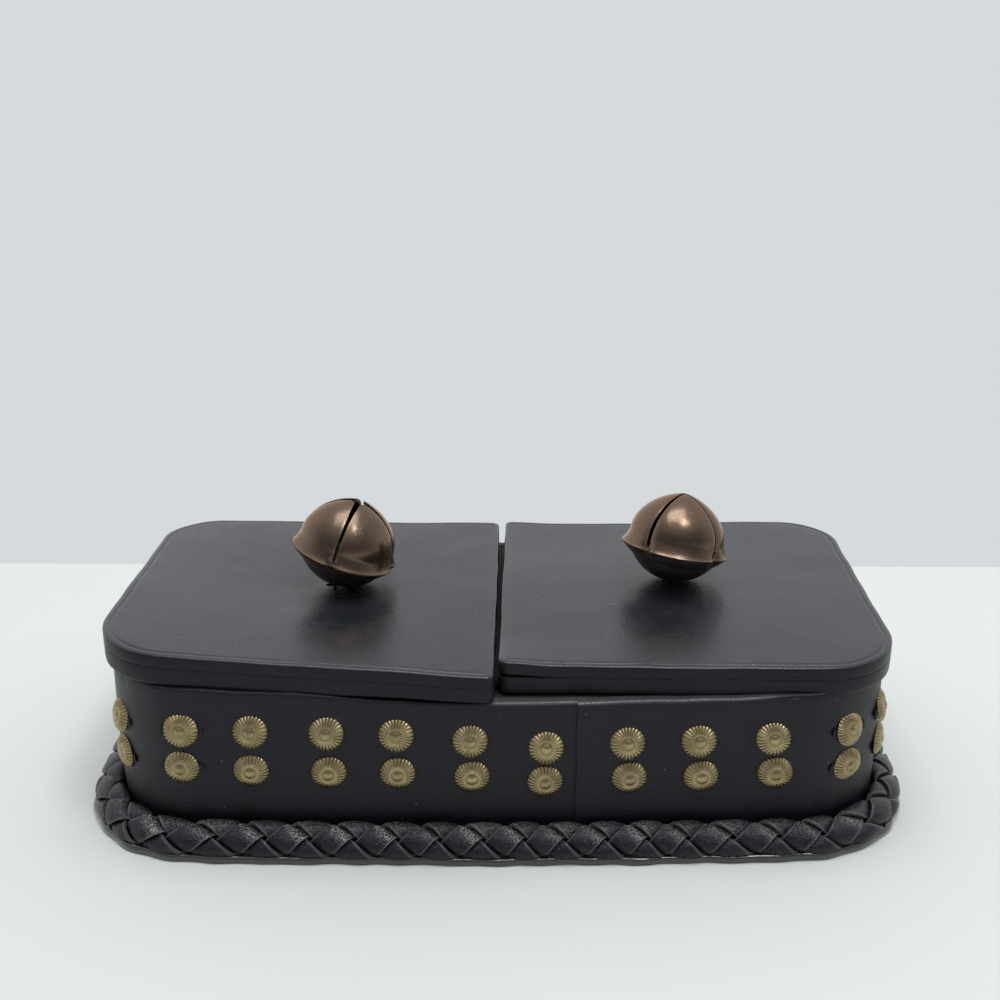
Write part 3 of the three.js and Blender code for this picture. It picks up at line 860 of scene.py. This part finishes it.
def make_sole():
    """The sole as rings from under its middle, round its burnished edge, to its top."""
    profile = [(60, 0), (12, 0), (2, 0), (0.6, 0.02), (0.2, 0.15), (0.02, 0.5), (0, 1.0)]
    profile += [(0.08, 1.45), (0.3, 1.8), (0.8, 1.97), (1.8, 2.0), (12, 2.0), (60, 2.0)]
    total = path_spots(0, sole_margin)[2]
    distance = np.tile(np.linspace(0, total, sole_sections, endpoint=False), len(profile))
    inset, height = np.repeat(profile, sole_sections, axis=0).T
    height = height * sole_thickness / 2
    reach = body_corner + sole_margin - np.minimum(inset, body_corner + sole_margin)
    rim = 1 - smooth_step(*sole_wave_fade, inset)
    around = standing(distance, reach, height * 0, sole_margin)
    wave = uneven(around, *sole_wave, 11) + uneven(around, *sole_ripple, 12)
    wave += sole_scallop * np.cos(4 * math.pi * plait_turns * distance / total) + sole_spread
    points = standing(distance, reach + rim * wave, height, sole_margin)
    upper = rim * (height > sole_thickness / 2)
    points[:, 2] += upper * uneven(around, *sole_lift, 13)
    points = swollen(points)
    points[:, 2] = np.maximum(points[:, 2], 0)
    faces = ring_faces(len(profile), sole_sections)
    # The sole's upper edge carries a painted sheen besides its waxed gloss
    edge = rim * (height > 0.1)
    piece = new_piece("sole_slab", points, faces, sole_leather, 50, {"edge": edge})
    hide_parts("sole")
    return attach(piece, "box")


def plait_place(share, lift):
    """Distance from the wall and height of points that lie so far out from the plait's middle
    skin. The share runs once round it, up from the row of crossings that faces the front."""
    tilt = math.radians(plait_tilt_deg)
    wide = np.array([math.cos(tilt), -math.sin(tilt)])
    high = np.array([math.sin(tilt), math.cos(tilt)])
    facing = math.radians(plait_facing_deg) - tilt
    first = math.atan(math.tan(facing) * plait_half_width / plait_half_height)
    turn = first - np.linspace(0, math.tau, 721)
    step = np.hypot(plait_half_width * np.cos(turn), plait_half_height * np.sin(turn))
    length = np.concatenate([[0], np.cumsum((step[1:] + step[:-1]) / 2)])
    angle = np.interp(np.mod(share, 1), length / length[-1], turn)
    aside = ((plait_half_width + lift) * np.sin(angle))[..., None] * wide
    above = ((plait_half_height + lift) * np.cos(angle))[..., None] * high
    return np.array([plait_centre, plait_level]) + aside + above


def plait_stations(turns, total):
    """Distances along the plait where it has made so many turns, with the front's crossings
    where the photograph has them. Each turn has two crossings in a row."""
    known = np.array(front_crossings)
    count = np.arange(len(known)) / 2
    marks = np.append(count, plait_turns)
    places = np.append(known, known[0] + total)
    return np.interp(np.mod(turns, plait_turns), marks, places)


def lace_section():
    """A lace's section as shares of its half width, and heights: a slightly crowned face,
    crisp cut edges and a flat back."""
    points = [(-0.94, 0.9), (-0.8, 1.1), (-0.4, 1.28), (0, 1.34), (0.4, 1.28), (0.8, 1.1)]
    points += [(0.94, 0.9), (1.0, 0.7), (1.0, -0.8), (0.94, -1.0), (0, -0.9), (-0.94, -1.0)]
    points += [(-1.0, -0.8), (-1.0, 0.7)]
    return np.array(points) * np.array([1, lace_thickness / 2])


def make_lace(number):
    """One lace of the round plait. Two of them wind up and two wind down, and each goes over
    and under those that it meets in turn. It bends along lines that lie the way they do."""
    total = path_spots(0, plait_centre)[2]
    rows = 4 * plait_turns * crossing_steps
    section = lace_section()
    columns = len(section)
    own = (number % 2) / 2
    along = (np.arange(rows) / (2 * crossing_steps))[:, None]
    aside = own + section[None, :, 0] * lace_cover_share / 4
    winds_up = number < 2
    rising, falling = (along, aside) if winds_up else (aside, along)
    wave = np.cos(math.tau * (along - own)) * (1 if winds_up else -1)
    held = np.tanh(lace_stiffness * wave) / math.tanh(lace_stiffness)
    past_start = along[:, 0] / 2 / plait_turns * total
    slack = lace_slack * noise_along(past_start, total, 31 + number)[:, None]
    lift = lace_weave * held + slack + section[None, :, 1]
    flat = plait_place((rising - falling) / 2, lift).reshape(-1, 2)
    stations = plait_stations((rising + falling) / 2, total).ravel()
    reach = body_corner + np.maximum(flat[:, 0], -0.2)
    level = np.maximum(flat[:, 1], sole_thickness * 0.85)
    points = swollen(standing(stations, reach, level, plait_centre))
    # The laces' cut edges carry a painted sheen
    edge = np.tile(smooth_step(*lace_cut_share, np.abs(section[:, 0])), rows)
    # A painted highlight just past each crest of the laces that wind up, and once each turn on
    # those that wind down, stronger on some laces and weaker at the sides
    if winds_up:
        past_crest = np.mod(along[:, 0] - own + 0.5, 1) - 0.5
        painted_highlight = hump(past_crest - highlight_shift, highlight_reach)
    else:
        above = np.mod((along[:, 0] - own) * -0.5 + 0.5, 1) - 0.5
        painted_highlight = top_highlight_share * hump(above - 0.25, top_highlight_reach)
    highlight_strength = highlight_strength_mean + highlight_strength_spread * noise_along(past_start, total, 41 + number)
    painted_highlight = np.repeat(painted_highlight * np.clip(highlight_strength, *highlight_strength_range), columns)
    painted_highlight *= 1 - highlight_strength_end_share * smooth_step(*highlight_strength_end_fade, np.abs(points[:, 0]))
    faces = grid_faces(rows, columns, close_rows=True, close_columns=True)
    values = {"edge": edge, "painted_highlight": painted_highlight}
    piece = new_piece(f"lace_{number + 1}", points, faces, lace_leather, 32, values)
    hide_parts(f"braid_strand_{number + 1}")
    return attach(piece, "box")


def noise_along(stations, total, seed):
    """A smooth random value round a closed path."""
    angle = math.tau * stations / total
    ring = joined(np.cos(angle), np.sin(angle), 0) * 9
    return uneven(ring, 1, 1.0, seed)


# Studs
def stud_shape():
    """A stamped rosette about its own axis: scalloped rim, radial flutes, boss and bump.
    Gives points, faces and how deep each point sits in a flute or beside the boss."""
    rings = [(1.0, 0.0, 0.2), (1.015, 0.25, 0.6), (0.99, 0.5, 1.0), (0.93, 0.8, 1.15)]
    rings += [(0.84, 1.1, 1.0), (0.74, 1.36, 0.9), (0.64, 1.56, 0.75), (0.54, 1.68, 0.5)]
    rings += [(0.44, 1.74, 0.15), (0.36, 1.68, 0), (0.30, 1.74, 0), (0.25, 1.92, 0)]
    rings += [(0.17, 2.06, 0), (0.10, 2.16, 0), (0.05, 2.2, 0)]
    sides = 4 * stud_flutes
    angle = math.tau * np.arange(sides) / sides
    groove = 1 - np.abs(np.cos(stud_flutes / 2 * angle)) ** 0.7
    points, hollow = [], []
    for share, height, fluted in rings:
        radius = stud_radius * share * (1 - flute_share * fluted * groove)
        level = height - flute_depth * fluted * groove
        points.append(joined(radius * np.cos(angle), radius * np.sin(angle), level))
        beside_boss = 0.7 if 0.29 < share < 0.37 else 0.0
        hollow.append(np.maximum(groove * fluted, beside_boss))
    return np.concatenate(points), ring_faces(len(rings), sides), np.concatenate(hollow)


def prong_shape():
    """The mouth of a prong's slit as a thin lens that lies on the leather, finished near black as
    painted shade.
    """
    sides = 14
    angle = math.tau * np.arange(sides) / sides
    rim = joined(prong_width * np.cos(angle), prong_length * np.sin(angle), 0) / 2
    middle = rim * 0.5 + np.array([0, 0, prong_rise])
    return np.concatenate([rim, middle]), ring_faces(2, sides)


def stud_place(distance, height):
    """The leather's surface there, with the directions along and out of it."""
    foot, out, _ = path_spots(np.array([distance]))
    belly = wrap_belly * math.sin(math.pi * (height - foot_level) / (rim_level - foot_level))
    ahead = path_spots(np.array([distance + 0.5]))
    spots = []
    for base, way in ((foot[0], out[0]), (ahead[0][0], ahead[1][0])):
        flat = base + way * (body_corner + belly)
        spots.append(swollen(np.array([[flat[0], flat[1], height]]))[0])
    plain = foot[0] + out[0] * (body_corner + belly)
    rough = uneven([(plain[0], plain[1], height)], *wrap_clouds, 1)[0]
    along = spots[1] - spots[0]
    along /= np.linalg.norm(along)
    outward = np.array([along[1], -along[0], 0])
    return spots[0] + outward * (rough - stud_bite), along, outward


def make_studs():
    """Thirty pairs of rosettes, each with the mouths of its prongs' slits beside it as dark lenses
    of painted shade.
    """
    shape, faces, hollow = stud_shape()
    slit, slit_faces = prong_shape()
    total = path_spots(0)[2]
    for column in range(1, stud_columns + 1):
        plain = stud_first_x + (column - 1) * total / stud_columns
        jitter = noise_along(np.array([plain]), total, 51)[0]
        upper = (plain + jitter, stud_upper_level + jitter)
        lower = (plain - jitter, stud_lower_level + jitter)
        points, all_faces, values, finishes = [], [], [], []
        for row, (distance, height) in enumerate(front_studs.get(column, (upper, lower))):
            place, along, outward = stud_place(distance, height)
            tilt = math.radians(stud_tilts_deg[row])
            upward = np.array([0, 0, math.cos(tilt)]) - math.sin(tilt) * outward
            facing = math.cos(tilt) * outward + np.array([0, 0, math.sin(tilt)])
            turn = math.radians(stud_turn_step_deg * (column * 2 + row))
            spin = np.array([[math.cos(turn), -math.sin(turn)], [math.sin(turn), math.cos(turn)]])
            disc = shape.copy()
            disc[:, :2] = disc[:, :2] @ spin.T
            lean = stud_lean_share * math.sin(7.0 * column + 3.0 * row)
            disc[:, 2] += lean * disc[:, 0] + stud_nod_share * disc[:, 1] + stud_seat
            parts = [(disc, faces, hollow, 0)]
            for side in (-1, 1):
                mouth = slit + np.array([side * (stud_radius + prong_gap), 0, prong_seat])
                parts.append((mouth, slit_faces, np.ones(len(slit)), 1))
            for part, part_faces, part_hollow, finish in parts:
                start = sum(len(p) for p in points)
                spots = part[:, :1] * along + part[:, 1:2] * upward + part[:, 2:] * facing
                points.append(place + spots)
                all_faces += shifted(part_faces, start)
                values.append(part_hollow)
                finishes += [finish] * len(part_faces)
        values = {"hollow": np.concatenate(values)}
        points = np.concatenate(points)
        piece = new_piece(f"rosettes_{column:02d}", points, all_faces, brass, 30, values)
        piece.data.materials.append(prong_slot_shade)
        piece.data.polygons.foreach_set("material_index", finishes)
        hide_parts(f"stud_pair_{column:02d}")
        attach(piece, "box")


# Lids
def lid_frame_points(points, lid):
    """Points of a lid's own frame put where the lid lies on the box."""
    turn = math.radians(lid["turn_deg"])
    x, y = points[:, 0], points[:, 1]
    placed = points.copy()
    placed[:, 0] = lid["centre"][0] + x * math.cos(turn) - y * math.sin(turn)
    placed[:, 1] = lid["centre"][1] + x * math.sin(turn) + y * math.cos(turn)
    return placed


def lid_outline(radii, inset):
    """A lid's outline moved in by an inset, with the same count of points at every inset."""
    half_x, half_y = lid_width / 2 - inset, lid_depth / 2 - inset
    corners = [(-1, -1), (1, -1), (1, 1), (-1, 1)]
    steps, straights = 12, 30
    ends = []
    for i, ((sx, sy), full) in enumerate(zip(corners, radii)):
        radius = max(full - inset, 0.4)
        centre = np.array([sx * (half_x - radius), sy * (half_y - radius)])
        angle = math.pi + i * math.pi / 2 + np.linspace(0, math.pi / 2, steps + 1)
        ends.append(centre + radius * joined(np.cos(angle), np.sin(angle)))
    outline = []
    for arc, following in zip(ends, ends[1:] + ends[:1]):
        share = np.arange(1, straights)[:, None] / straights
        outline += [arc, arc[-1] * (1 - share) + following[0] * share]
    return np.concatenate(outline)


def lid_slab(lid, level, profile, curl):
    """Rings from the middle of the underside, round the edge, to the middle of the top. Gives
    points, faces, and how far in and how high each point was before the lid was bent."""
    radii, first, last = lid["radii"], profile[0], profile[-1]
    shares = np.linspace(0.06, 1, 14)[:-1]
    rings = [(lid_outline(radii, first[0]) * share, first[1], middle_inset) for share in shares]
    rings += [(lid_outline(radii, inset), height, inset) for inset, height in profile]
    rings += [(lid_outline(radii, last[0]) * s, last[1], middle_inset) for s in shares[::-1]]
    columns = len(rings[0][0])
    flat = np.concatenate([ring[0] for ring in rings])
    height, inset = np.repeat([ring[1:] for ring in rings], columns, axis=0).T
    points = warped(joined(flat[:, 0], flat[:, 1], height), lid, curl)
    points[:, 2] += level
    return points, ring_faces(len(rings), columns), inset, height


def warped(points, lid, curl):
    """A lid's points moved as its leather has bent: each corner by its own move, one corner
    curled up, the back edge dipped. The middle stays flat under the bell."""
    x, y = points[:, 0].copy(), points[:, 1].copy()
    flat = joined(x, y, 0)
    right, back = 0.5 + x / lid_width, 0.5 + y / lid_depth
    shares = ((1 - right) * (1 - back), right * (1 - back), right * back, (1 - right) * back)
    move = sum(share[:, None] * np.array(corner) for share, corner in zip(shares, lid["moves"]))
    from_hole = np.hypot(x - lid["hole"][0], y - lid["hole"][1])
    free = 1 - hump(from_hole, flat_reach)
    front_left = np.hypot(x + lid_width / 2, y + lid_depth / 2)
    lift = curl * hump(front_left, curl_reach)
    near_back = smooth_step(0, lid_depth / 2, y)
    dip = lid["dip"] * near_back * hump(x - dip_x, dip_reach)
    wave = uneven(flat, *lid_wave, 60 + lid["sign"])
    rough = uneven(flat, *lid_ripple, 70 + lid["sign"])
    bent = points + move * joined(1, 1, free)
    bent[:, 2] += lift - dip + wave * free + rough
    trim = uneven(flat, *lid_trim, 80 + lid["sign"])
    outer = np.maximum(np.abs(x) / (lid_width / 2), np.abs(y) / (lid_depth / 2))
    bent[:, :2] *= (1 + smooth_step(0.8, 1, outer) * trim / (lid_width / 2))[:, None]
    return bent


def sagged(points, lid, inset, height):
    """The under leather's points with its edge hanging lower along the front and outer end."""
    x, y = points[:, 0], points[:, 1]
    right = 0.5 + x / lid_width
    depth = lid["hang"][0] * (1 - right) + lid["hang"][1] * right
    to_middle = smooth_step(lid_width / 2 - 3, lid_width / 2 - 1.2, -lid["sign"] * x)
    free = smooth_step(*hang_onset, y) * (1 - to_middle * smooth_step(*hang_end, y))
    near = 1 - smooth_step(0.7, 1.6, inset)
    low = 1 - smooth_step(0.3, 0.95, height / leather_thickness)
    points[:, 2] -= depth * free * near * low
    return points


def make_lid_leathers(side):
    """A lid's two leathers. The upper one is creased along its edge and cut for the bell."""
    lid = lids[side]
    thick = leather_thickness
    profile = [(9, 0), (2.2, 0), (0.9, 0.06), (0.35, 0.22), (0.06, 0.55), (-0.05, 1.2)]
    profile += [(-0.05, thick - 0.8), (-0.05, thick - 0.06), (-0.02, thick), (9, thick)]
    points, faces, inset, height = lid_slab(lid, under_low[2], profile, 0)
    points = lid_frame_points(sagged(points, lid, inset, height), lid)
    under = new_piece(f"{side}_under_leather", points, faces, lid_leather, 45)
    add_finish(under, lid_edge_shaded, 1 - smooth_step(0.5, 1.6, inset))
    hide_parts(f"{side}_lid_under_leather")

    profile = [(9, 0), (-0.02, 0), (-0.05, 0.06), (-0.05, 0.7), (-0.05, thick - 0.8)]
    profile += [(0.03, thick - 0.42), (0.2, thick - 0.2), (0.6, thick - 0.08), (1.2, thick - 0.03)]
    profile += [(crease_inset - crease_half, thick), (crease_inset, thick - crease_depth)]
    profile += [(crease_inset + crease_half, thick), (3.2, thick + 0.02), (9, thick)]
    points, faces, inset, height = lid_slab(lid, top_low[2], profile, lid["curl"])
    edge = (1 - smooth_step(1.0, 1.8, inset)) * smooth_step(thick - 0.3, thick, height)
    points = lid_frame_points(points, lid)
    top = new_piece(f"{side}_top_leather", points, faces, lid_leather, 45, {"edge": edge})
    flank = 1 - smooth_step(thick - 0.5, thick - 0.15, height)
    # The top leather's flank takes the darker finish, painted shade
    add_finish(top, lid_edge_shaded, (1 - smooth_step(0.1, 0.5, inset)) * flank)
    cut_slot(top, side)
    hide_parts(f"{side}_lid_top_leather")
    for piece in (under, top):
        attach(piece, f"{side}_lid")


def bell_hinge(side):
    """The middle of the pin that the bell rocks on, in millimetres."""
    hinge = next(joint for joint in frame["joints"] if joint["name"] == f"{side}_bell_rock")
    return Vector(hinge["pos_m"]) / mm


def cut_slot(leather, side):
    """The slot that the bell's shank swings in, from upright to where it leans out."""
    lid = lids[side]
    lean = math.radians(lid["bell_lean_deg"])
    half_width = shank_wire / 2 + shank_play
    leaning = (lid_top - bell_hinge(side).z) * math.tan(lean) + half_width / math.cos(lean)
    x, y = lid["hole"]
    sides = 16
    angle = math.tau * (np.arange(sides) + 0.5) / sides
    across = x + np.where(np.cos(angle) > 0, leaning - half_width, 0) + half_width * np.cos(angle)
    outline = joined(across, y + half_width * np.sin(angle), 0)
    levels = (lid_top - 2 * leather_thickness, lid_top + leather_thickness)
    points = np.concatenate([outline + np.array([0, 0, level]) for level in levels])
    points = lid_frame_points(points, lid)
    cutter = new_piece(f"{side}_slot_cutter", points, ring_faces(2, sides), lid_leather)
    cut = leather.modifiers.new("slot", "BOOLEAN")
    cut.operation = "DIFFERENCE"
    cut.object = cutter
    settle_modifiers(leather, 45)
    bpy.data.objects.remove(cutter)


# Bells
def bell_outline():
    """The bell's outside from the pole of its bowl to its apex, as radius and height."""
    bowl = np.radians(np.linspace(0, 57, 14))
    points = [(bell_radius * math.sin(a), bell_radius * (1 - math.cos(a))) for a in bowl]
    ridge, edge = bell_ridge_height, bell_ridge_radius
    points += [(edge - 2.2, ridge - 2.5), (edge - 1.15, ridge - 1.5), (edge - 0.45, ridge - 0.8)]
    points += [(edge - 0.08, ridge - 0.35), (edge, ridge), (edge - 0.12, ridge + 0.18)]
    points += [(edge - 0.42, ridge + 0.5), (edge - 0.8, ridge + 1.1), (edge - 1.15, ridge + 1.9)]
    points += [(edge - 1.45, ridge + 2.75)]
    for a in np.radians(np.linspace(0, 90, 26)):
        radius = bell_waist_radius * max(math.cos(a), 0) ** bell_power
        height = bell_waist_height + (bell_height - bell_waist_height) * math.sin(a)
        points.append((max(radius, 0.02), height))
    return np.array(points)


def bell_points(lid):
    """Four petals that share the bowl, each with its own edges at the slits. The petals stop
    short of the bell's axis, where their tips leave a hole."""
    outline = bell_outline()
    in_bowl = outline[:, 1] < bell_ridge_height
    outline = outline[in_bowl | (outline[:, 0] >= lid["tip_radius"])]
    radius, height = outline[:, :1], outline[:, 1:]
    parts = ((-1, -0.8, 5), (-0.7, 0.7, 15), (0.8, 1, 5))
    across = np.concatenate([np.linspace(*part) for part in parts])
    aside = np.abs(across)
    ridge, foot, top = bell_ridge_height, lid["slit_foot_width"], lid["slit_top_width"]
    rise = np.clip((height - bell_slit_foot) / (bell_height - bell_slit_foot), 0, 1)
    width = foot * np.minimum(rise * 12, 1) + (top - foot) * rise**6
    gap = np.arcsin(np.minimum(1, width / 2 / np.maximum(radius, 0.1)))
    half = np.maximum(math.pi / 4 - gap, 0)
    near_ridge, dome = hump(height - ridge, 1.6), np.sin(math.pi * rise) ** 0.5
    pinch = -lid["notch"] * near_ridge * hump(1 - aside, bell_notch_reach)
    lobe = bell_lobe * near_ridge * (0.25 - aside**2) * (1 - aside**4)
    tuck = -bell_tuck * dome * aside**8
    lapped = lid["overlap"] * dome * across * aside**5
    reach = np.maximum(radius + pinch + lobe + tuck + lapped, 0.01)
    beside_slit = 0.8 * rise**0.3 * smooth_step(0.9, 1, aside)
    # Edge values: a painted highlight along the ridge, and paler slit edges
    edge = np.maximum(hump(height - ridge - 0.15, 0.2), beside_slit)
    # The bowl below the ridge is marked for dark patina and painted shade
    bowl = np.repeat(1 - smooth_step(ridge - 1.6, ridge - 0.7, height), len(across))
    points = []
    for petal in range(4):
        middle = math.radians(lid["slit_turn_deg"]) + math.pi / 4 + petal * math.pi / 2
        angle = middle + across * half
        points += [*joined(reach * np.cos(angle), reach * np.sin(angle), height).reshape(-1, 3)]
    values = {"bowl": np.tile(bowl, 4), "edge": np.tile(edge.ravel(), 4)}
    return points, len(outline), len(across), values


def make_bell(side):
    """A bell's thin shell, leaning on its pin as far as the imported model's does."""
    lid = lids[side]
    pin = bell_hinge(side)
    lean, lean_back = math.radians(lid["bell_lean_deg"]), math.radians(lid["bell_back_deg"])
    centre_height = lid_top - pin.z + seat_gap + bell_radius
    pole_reach = centre_height / math.cos(lean) - bell_radius * math.cos(lean_back)
    points, rows, columns, values = bell_points(lid)
    stand = Matrix.Translation(pin) @ Matrix.Rotation(math.radians(lid["turn_deg"]), 4, "Z")
    stand = stand @ Matrix.Rotation(lean, 4, "Y") @ Matrix.Translation((0, 0, pole_reach))
    stand = stand @ Matrix.Rotation(-lean_back, 4, "X")
    points = [stand @ Vector(point) for point in points]
    faces = []
    for petal in range(4):
        faces += shifted(grid_faces(rows, columns), petal * rows * columns)
    piece = new_piece(f"{side}_petals", points, faces, bronze, 60, values)
    face_outward(piece.data, petal_merge * mm)
    thicken = piece.modifiers.new("wall", "SOLIDIFY")
    thicken.thickness = bell_wall * mm
    thicken.offset = -1
    thicken.material_offset = 1
    # The inner face of the shell takes the darkened bronze, painted shade
    piece.data.materials.append(bell_inside_shade)
    settle_modifiers(piece, 42)
    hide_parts(f"{side}_bell_shell")
    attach(piece, f"{side}_bell")


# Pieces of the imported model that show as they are
def finish_nodes():
    finishes = {"base_board": board, "divider": board}
    finishes.update({"left_floor_pad": lining, "right_floor_pad": lining})
    for side in lids:
        finishes.update({f"{side}_lid_plug": board, f"{side}_lid_plug_lining": lining})
        for name in ("pin", "shank", "pellet"):
            finishes[f"{side}_bell_{name}"] = steel
    for name, finish in finishes.items():
        mesh = frame["nodes"][name].data
        mesh.materials.clear()
        mesh.materials.append(finish)


# Setting
def make_floor():
    """A wide pale floor. Past its far edge the camera sees the even backdrop."""
    material, shader, place = new_material("pale floor")
    mottle = shader.noise(place, 9.0, 3.0, 0.5)
    pale = shader.mix(mottle, tinted(floor_white, (0.975, 0.975, 0.975)), floor_white)
    finished(material, shader, pale, 0.9, **{"Specular IOR Level": 0.1})
    mesh = bpy.data.meshes.new("floor")
    half, far = floor_reach, backdrop_y
    corners = [(-half, -half, 0), (half, -half, 0), (half, far, 0), (-half, far, 0)]
    mesh.from_pydata(corners, [], [(0, 1, 2, 3)])
    mesh.materials.append(material)
    floor = put("floor", mesh)
    floor.location.z = -0.0002


def make_world():
    """Even studio light: bright above and behind, dimmer from the front."""
    world = bpy.data.worlds.new("studio")
    world.use_nodes = True
    bpy.context.scene.world = world
    shader = Shader(world.node_tree)
    lamp = world.node_tree.nodes["Background"]
    way = shader.add("ShaderNodeTexCoord").outputs["Generated"]
    axes = shader.add("ShaderNodeSeparateXYZ", {0: way})
    behind = shader.ramp(axes.outputs[1], -0.75, 0.45)
    above = shader.ramp(axes.outputs[2], 0.35, 1.0)
    glow = shader.math("MAXIMUM", behind, shader.times(above, 0.8))
    tone = shader.mix(glow, room_dim, room_bright)
    seen = shader.add("ShaderNodeLightPath").outputs["Is Camera Ray"]
    shader.join(lamp.inputs["Color"], shader.mix(seen, tone, backdrop_white))
    lamp.inputs["Strength"].default_value = 1.0


def make_lamp(name, place, target, size, power, tint):
    data = bpy.data.lights.new(name, "AREA")
    data.shape = "RECTANGLE"
    data.size, data.size_y = size
    data.energy = power
    data.color = tint
    lamp = put(name, data)
    lamp.location = place
    lamp.rotation_euler = (Vector(target) - Vector(place)).to_track_quat("-Z", "Y").to_euler()


def make_camera():
    pitch = math.radians(camera_pitch_deg)
    yaw = math.radians(camera_yaw_deg)
    roll = math.radians(camera_roll_deg)
    flat = math.cos(pitch)
    ahead = Vector((math.sin(yaw) * flat, math.cos(yaw) * flat, -math.sin(pitch)))
    level = Vector((math.cos(yaw), -math.sin(yaw), 0))
    down = ahead.cross(level)
    right = level * math.cos(roll) + down * math.sin(roll)
    below = down * math.cos(roll) - level * math.sin(roll)
    data = bpy.data.cameras.new("camera")
    data.sensor_width = sensor_width
    data.lens = focal_px * sensor_width / image_px
    data.clip_start = 0.01
    camera = put("camera", data)
    turned = Matrix((right, -below, -ahead)).transposed()
    camera.matrix_world = Matrix.Translation(Vector(camera_place) * mm) @ turned.to_4x4()
    bpy.context.scene.camera = camera


make_camera()
make_wrap()
make_inner_wall()
make_sole()
for number in range(4):
    make_lace(number)
make_studs()
for side in lids:
    make_lid_leathers(side)
    make_bell(side)
finish_nodes()
make_floor()
make_world()
for name, setting in lamps.items():
    make_lamp(name, *setting)
bpy.context.scene.view_settings.view_transform = "Standard"
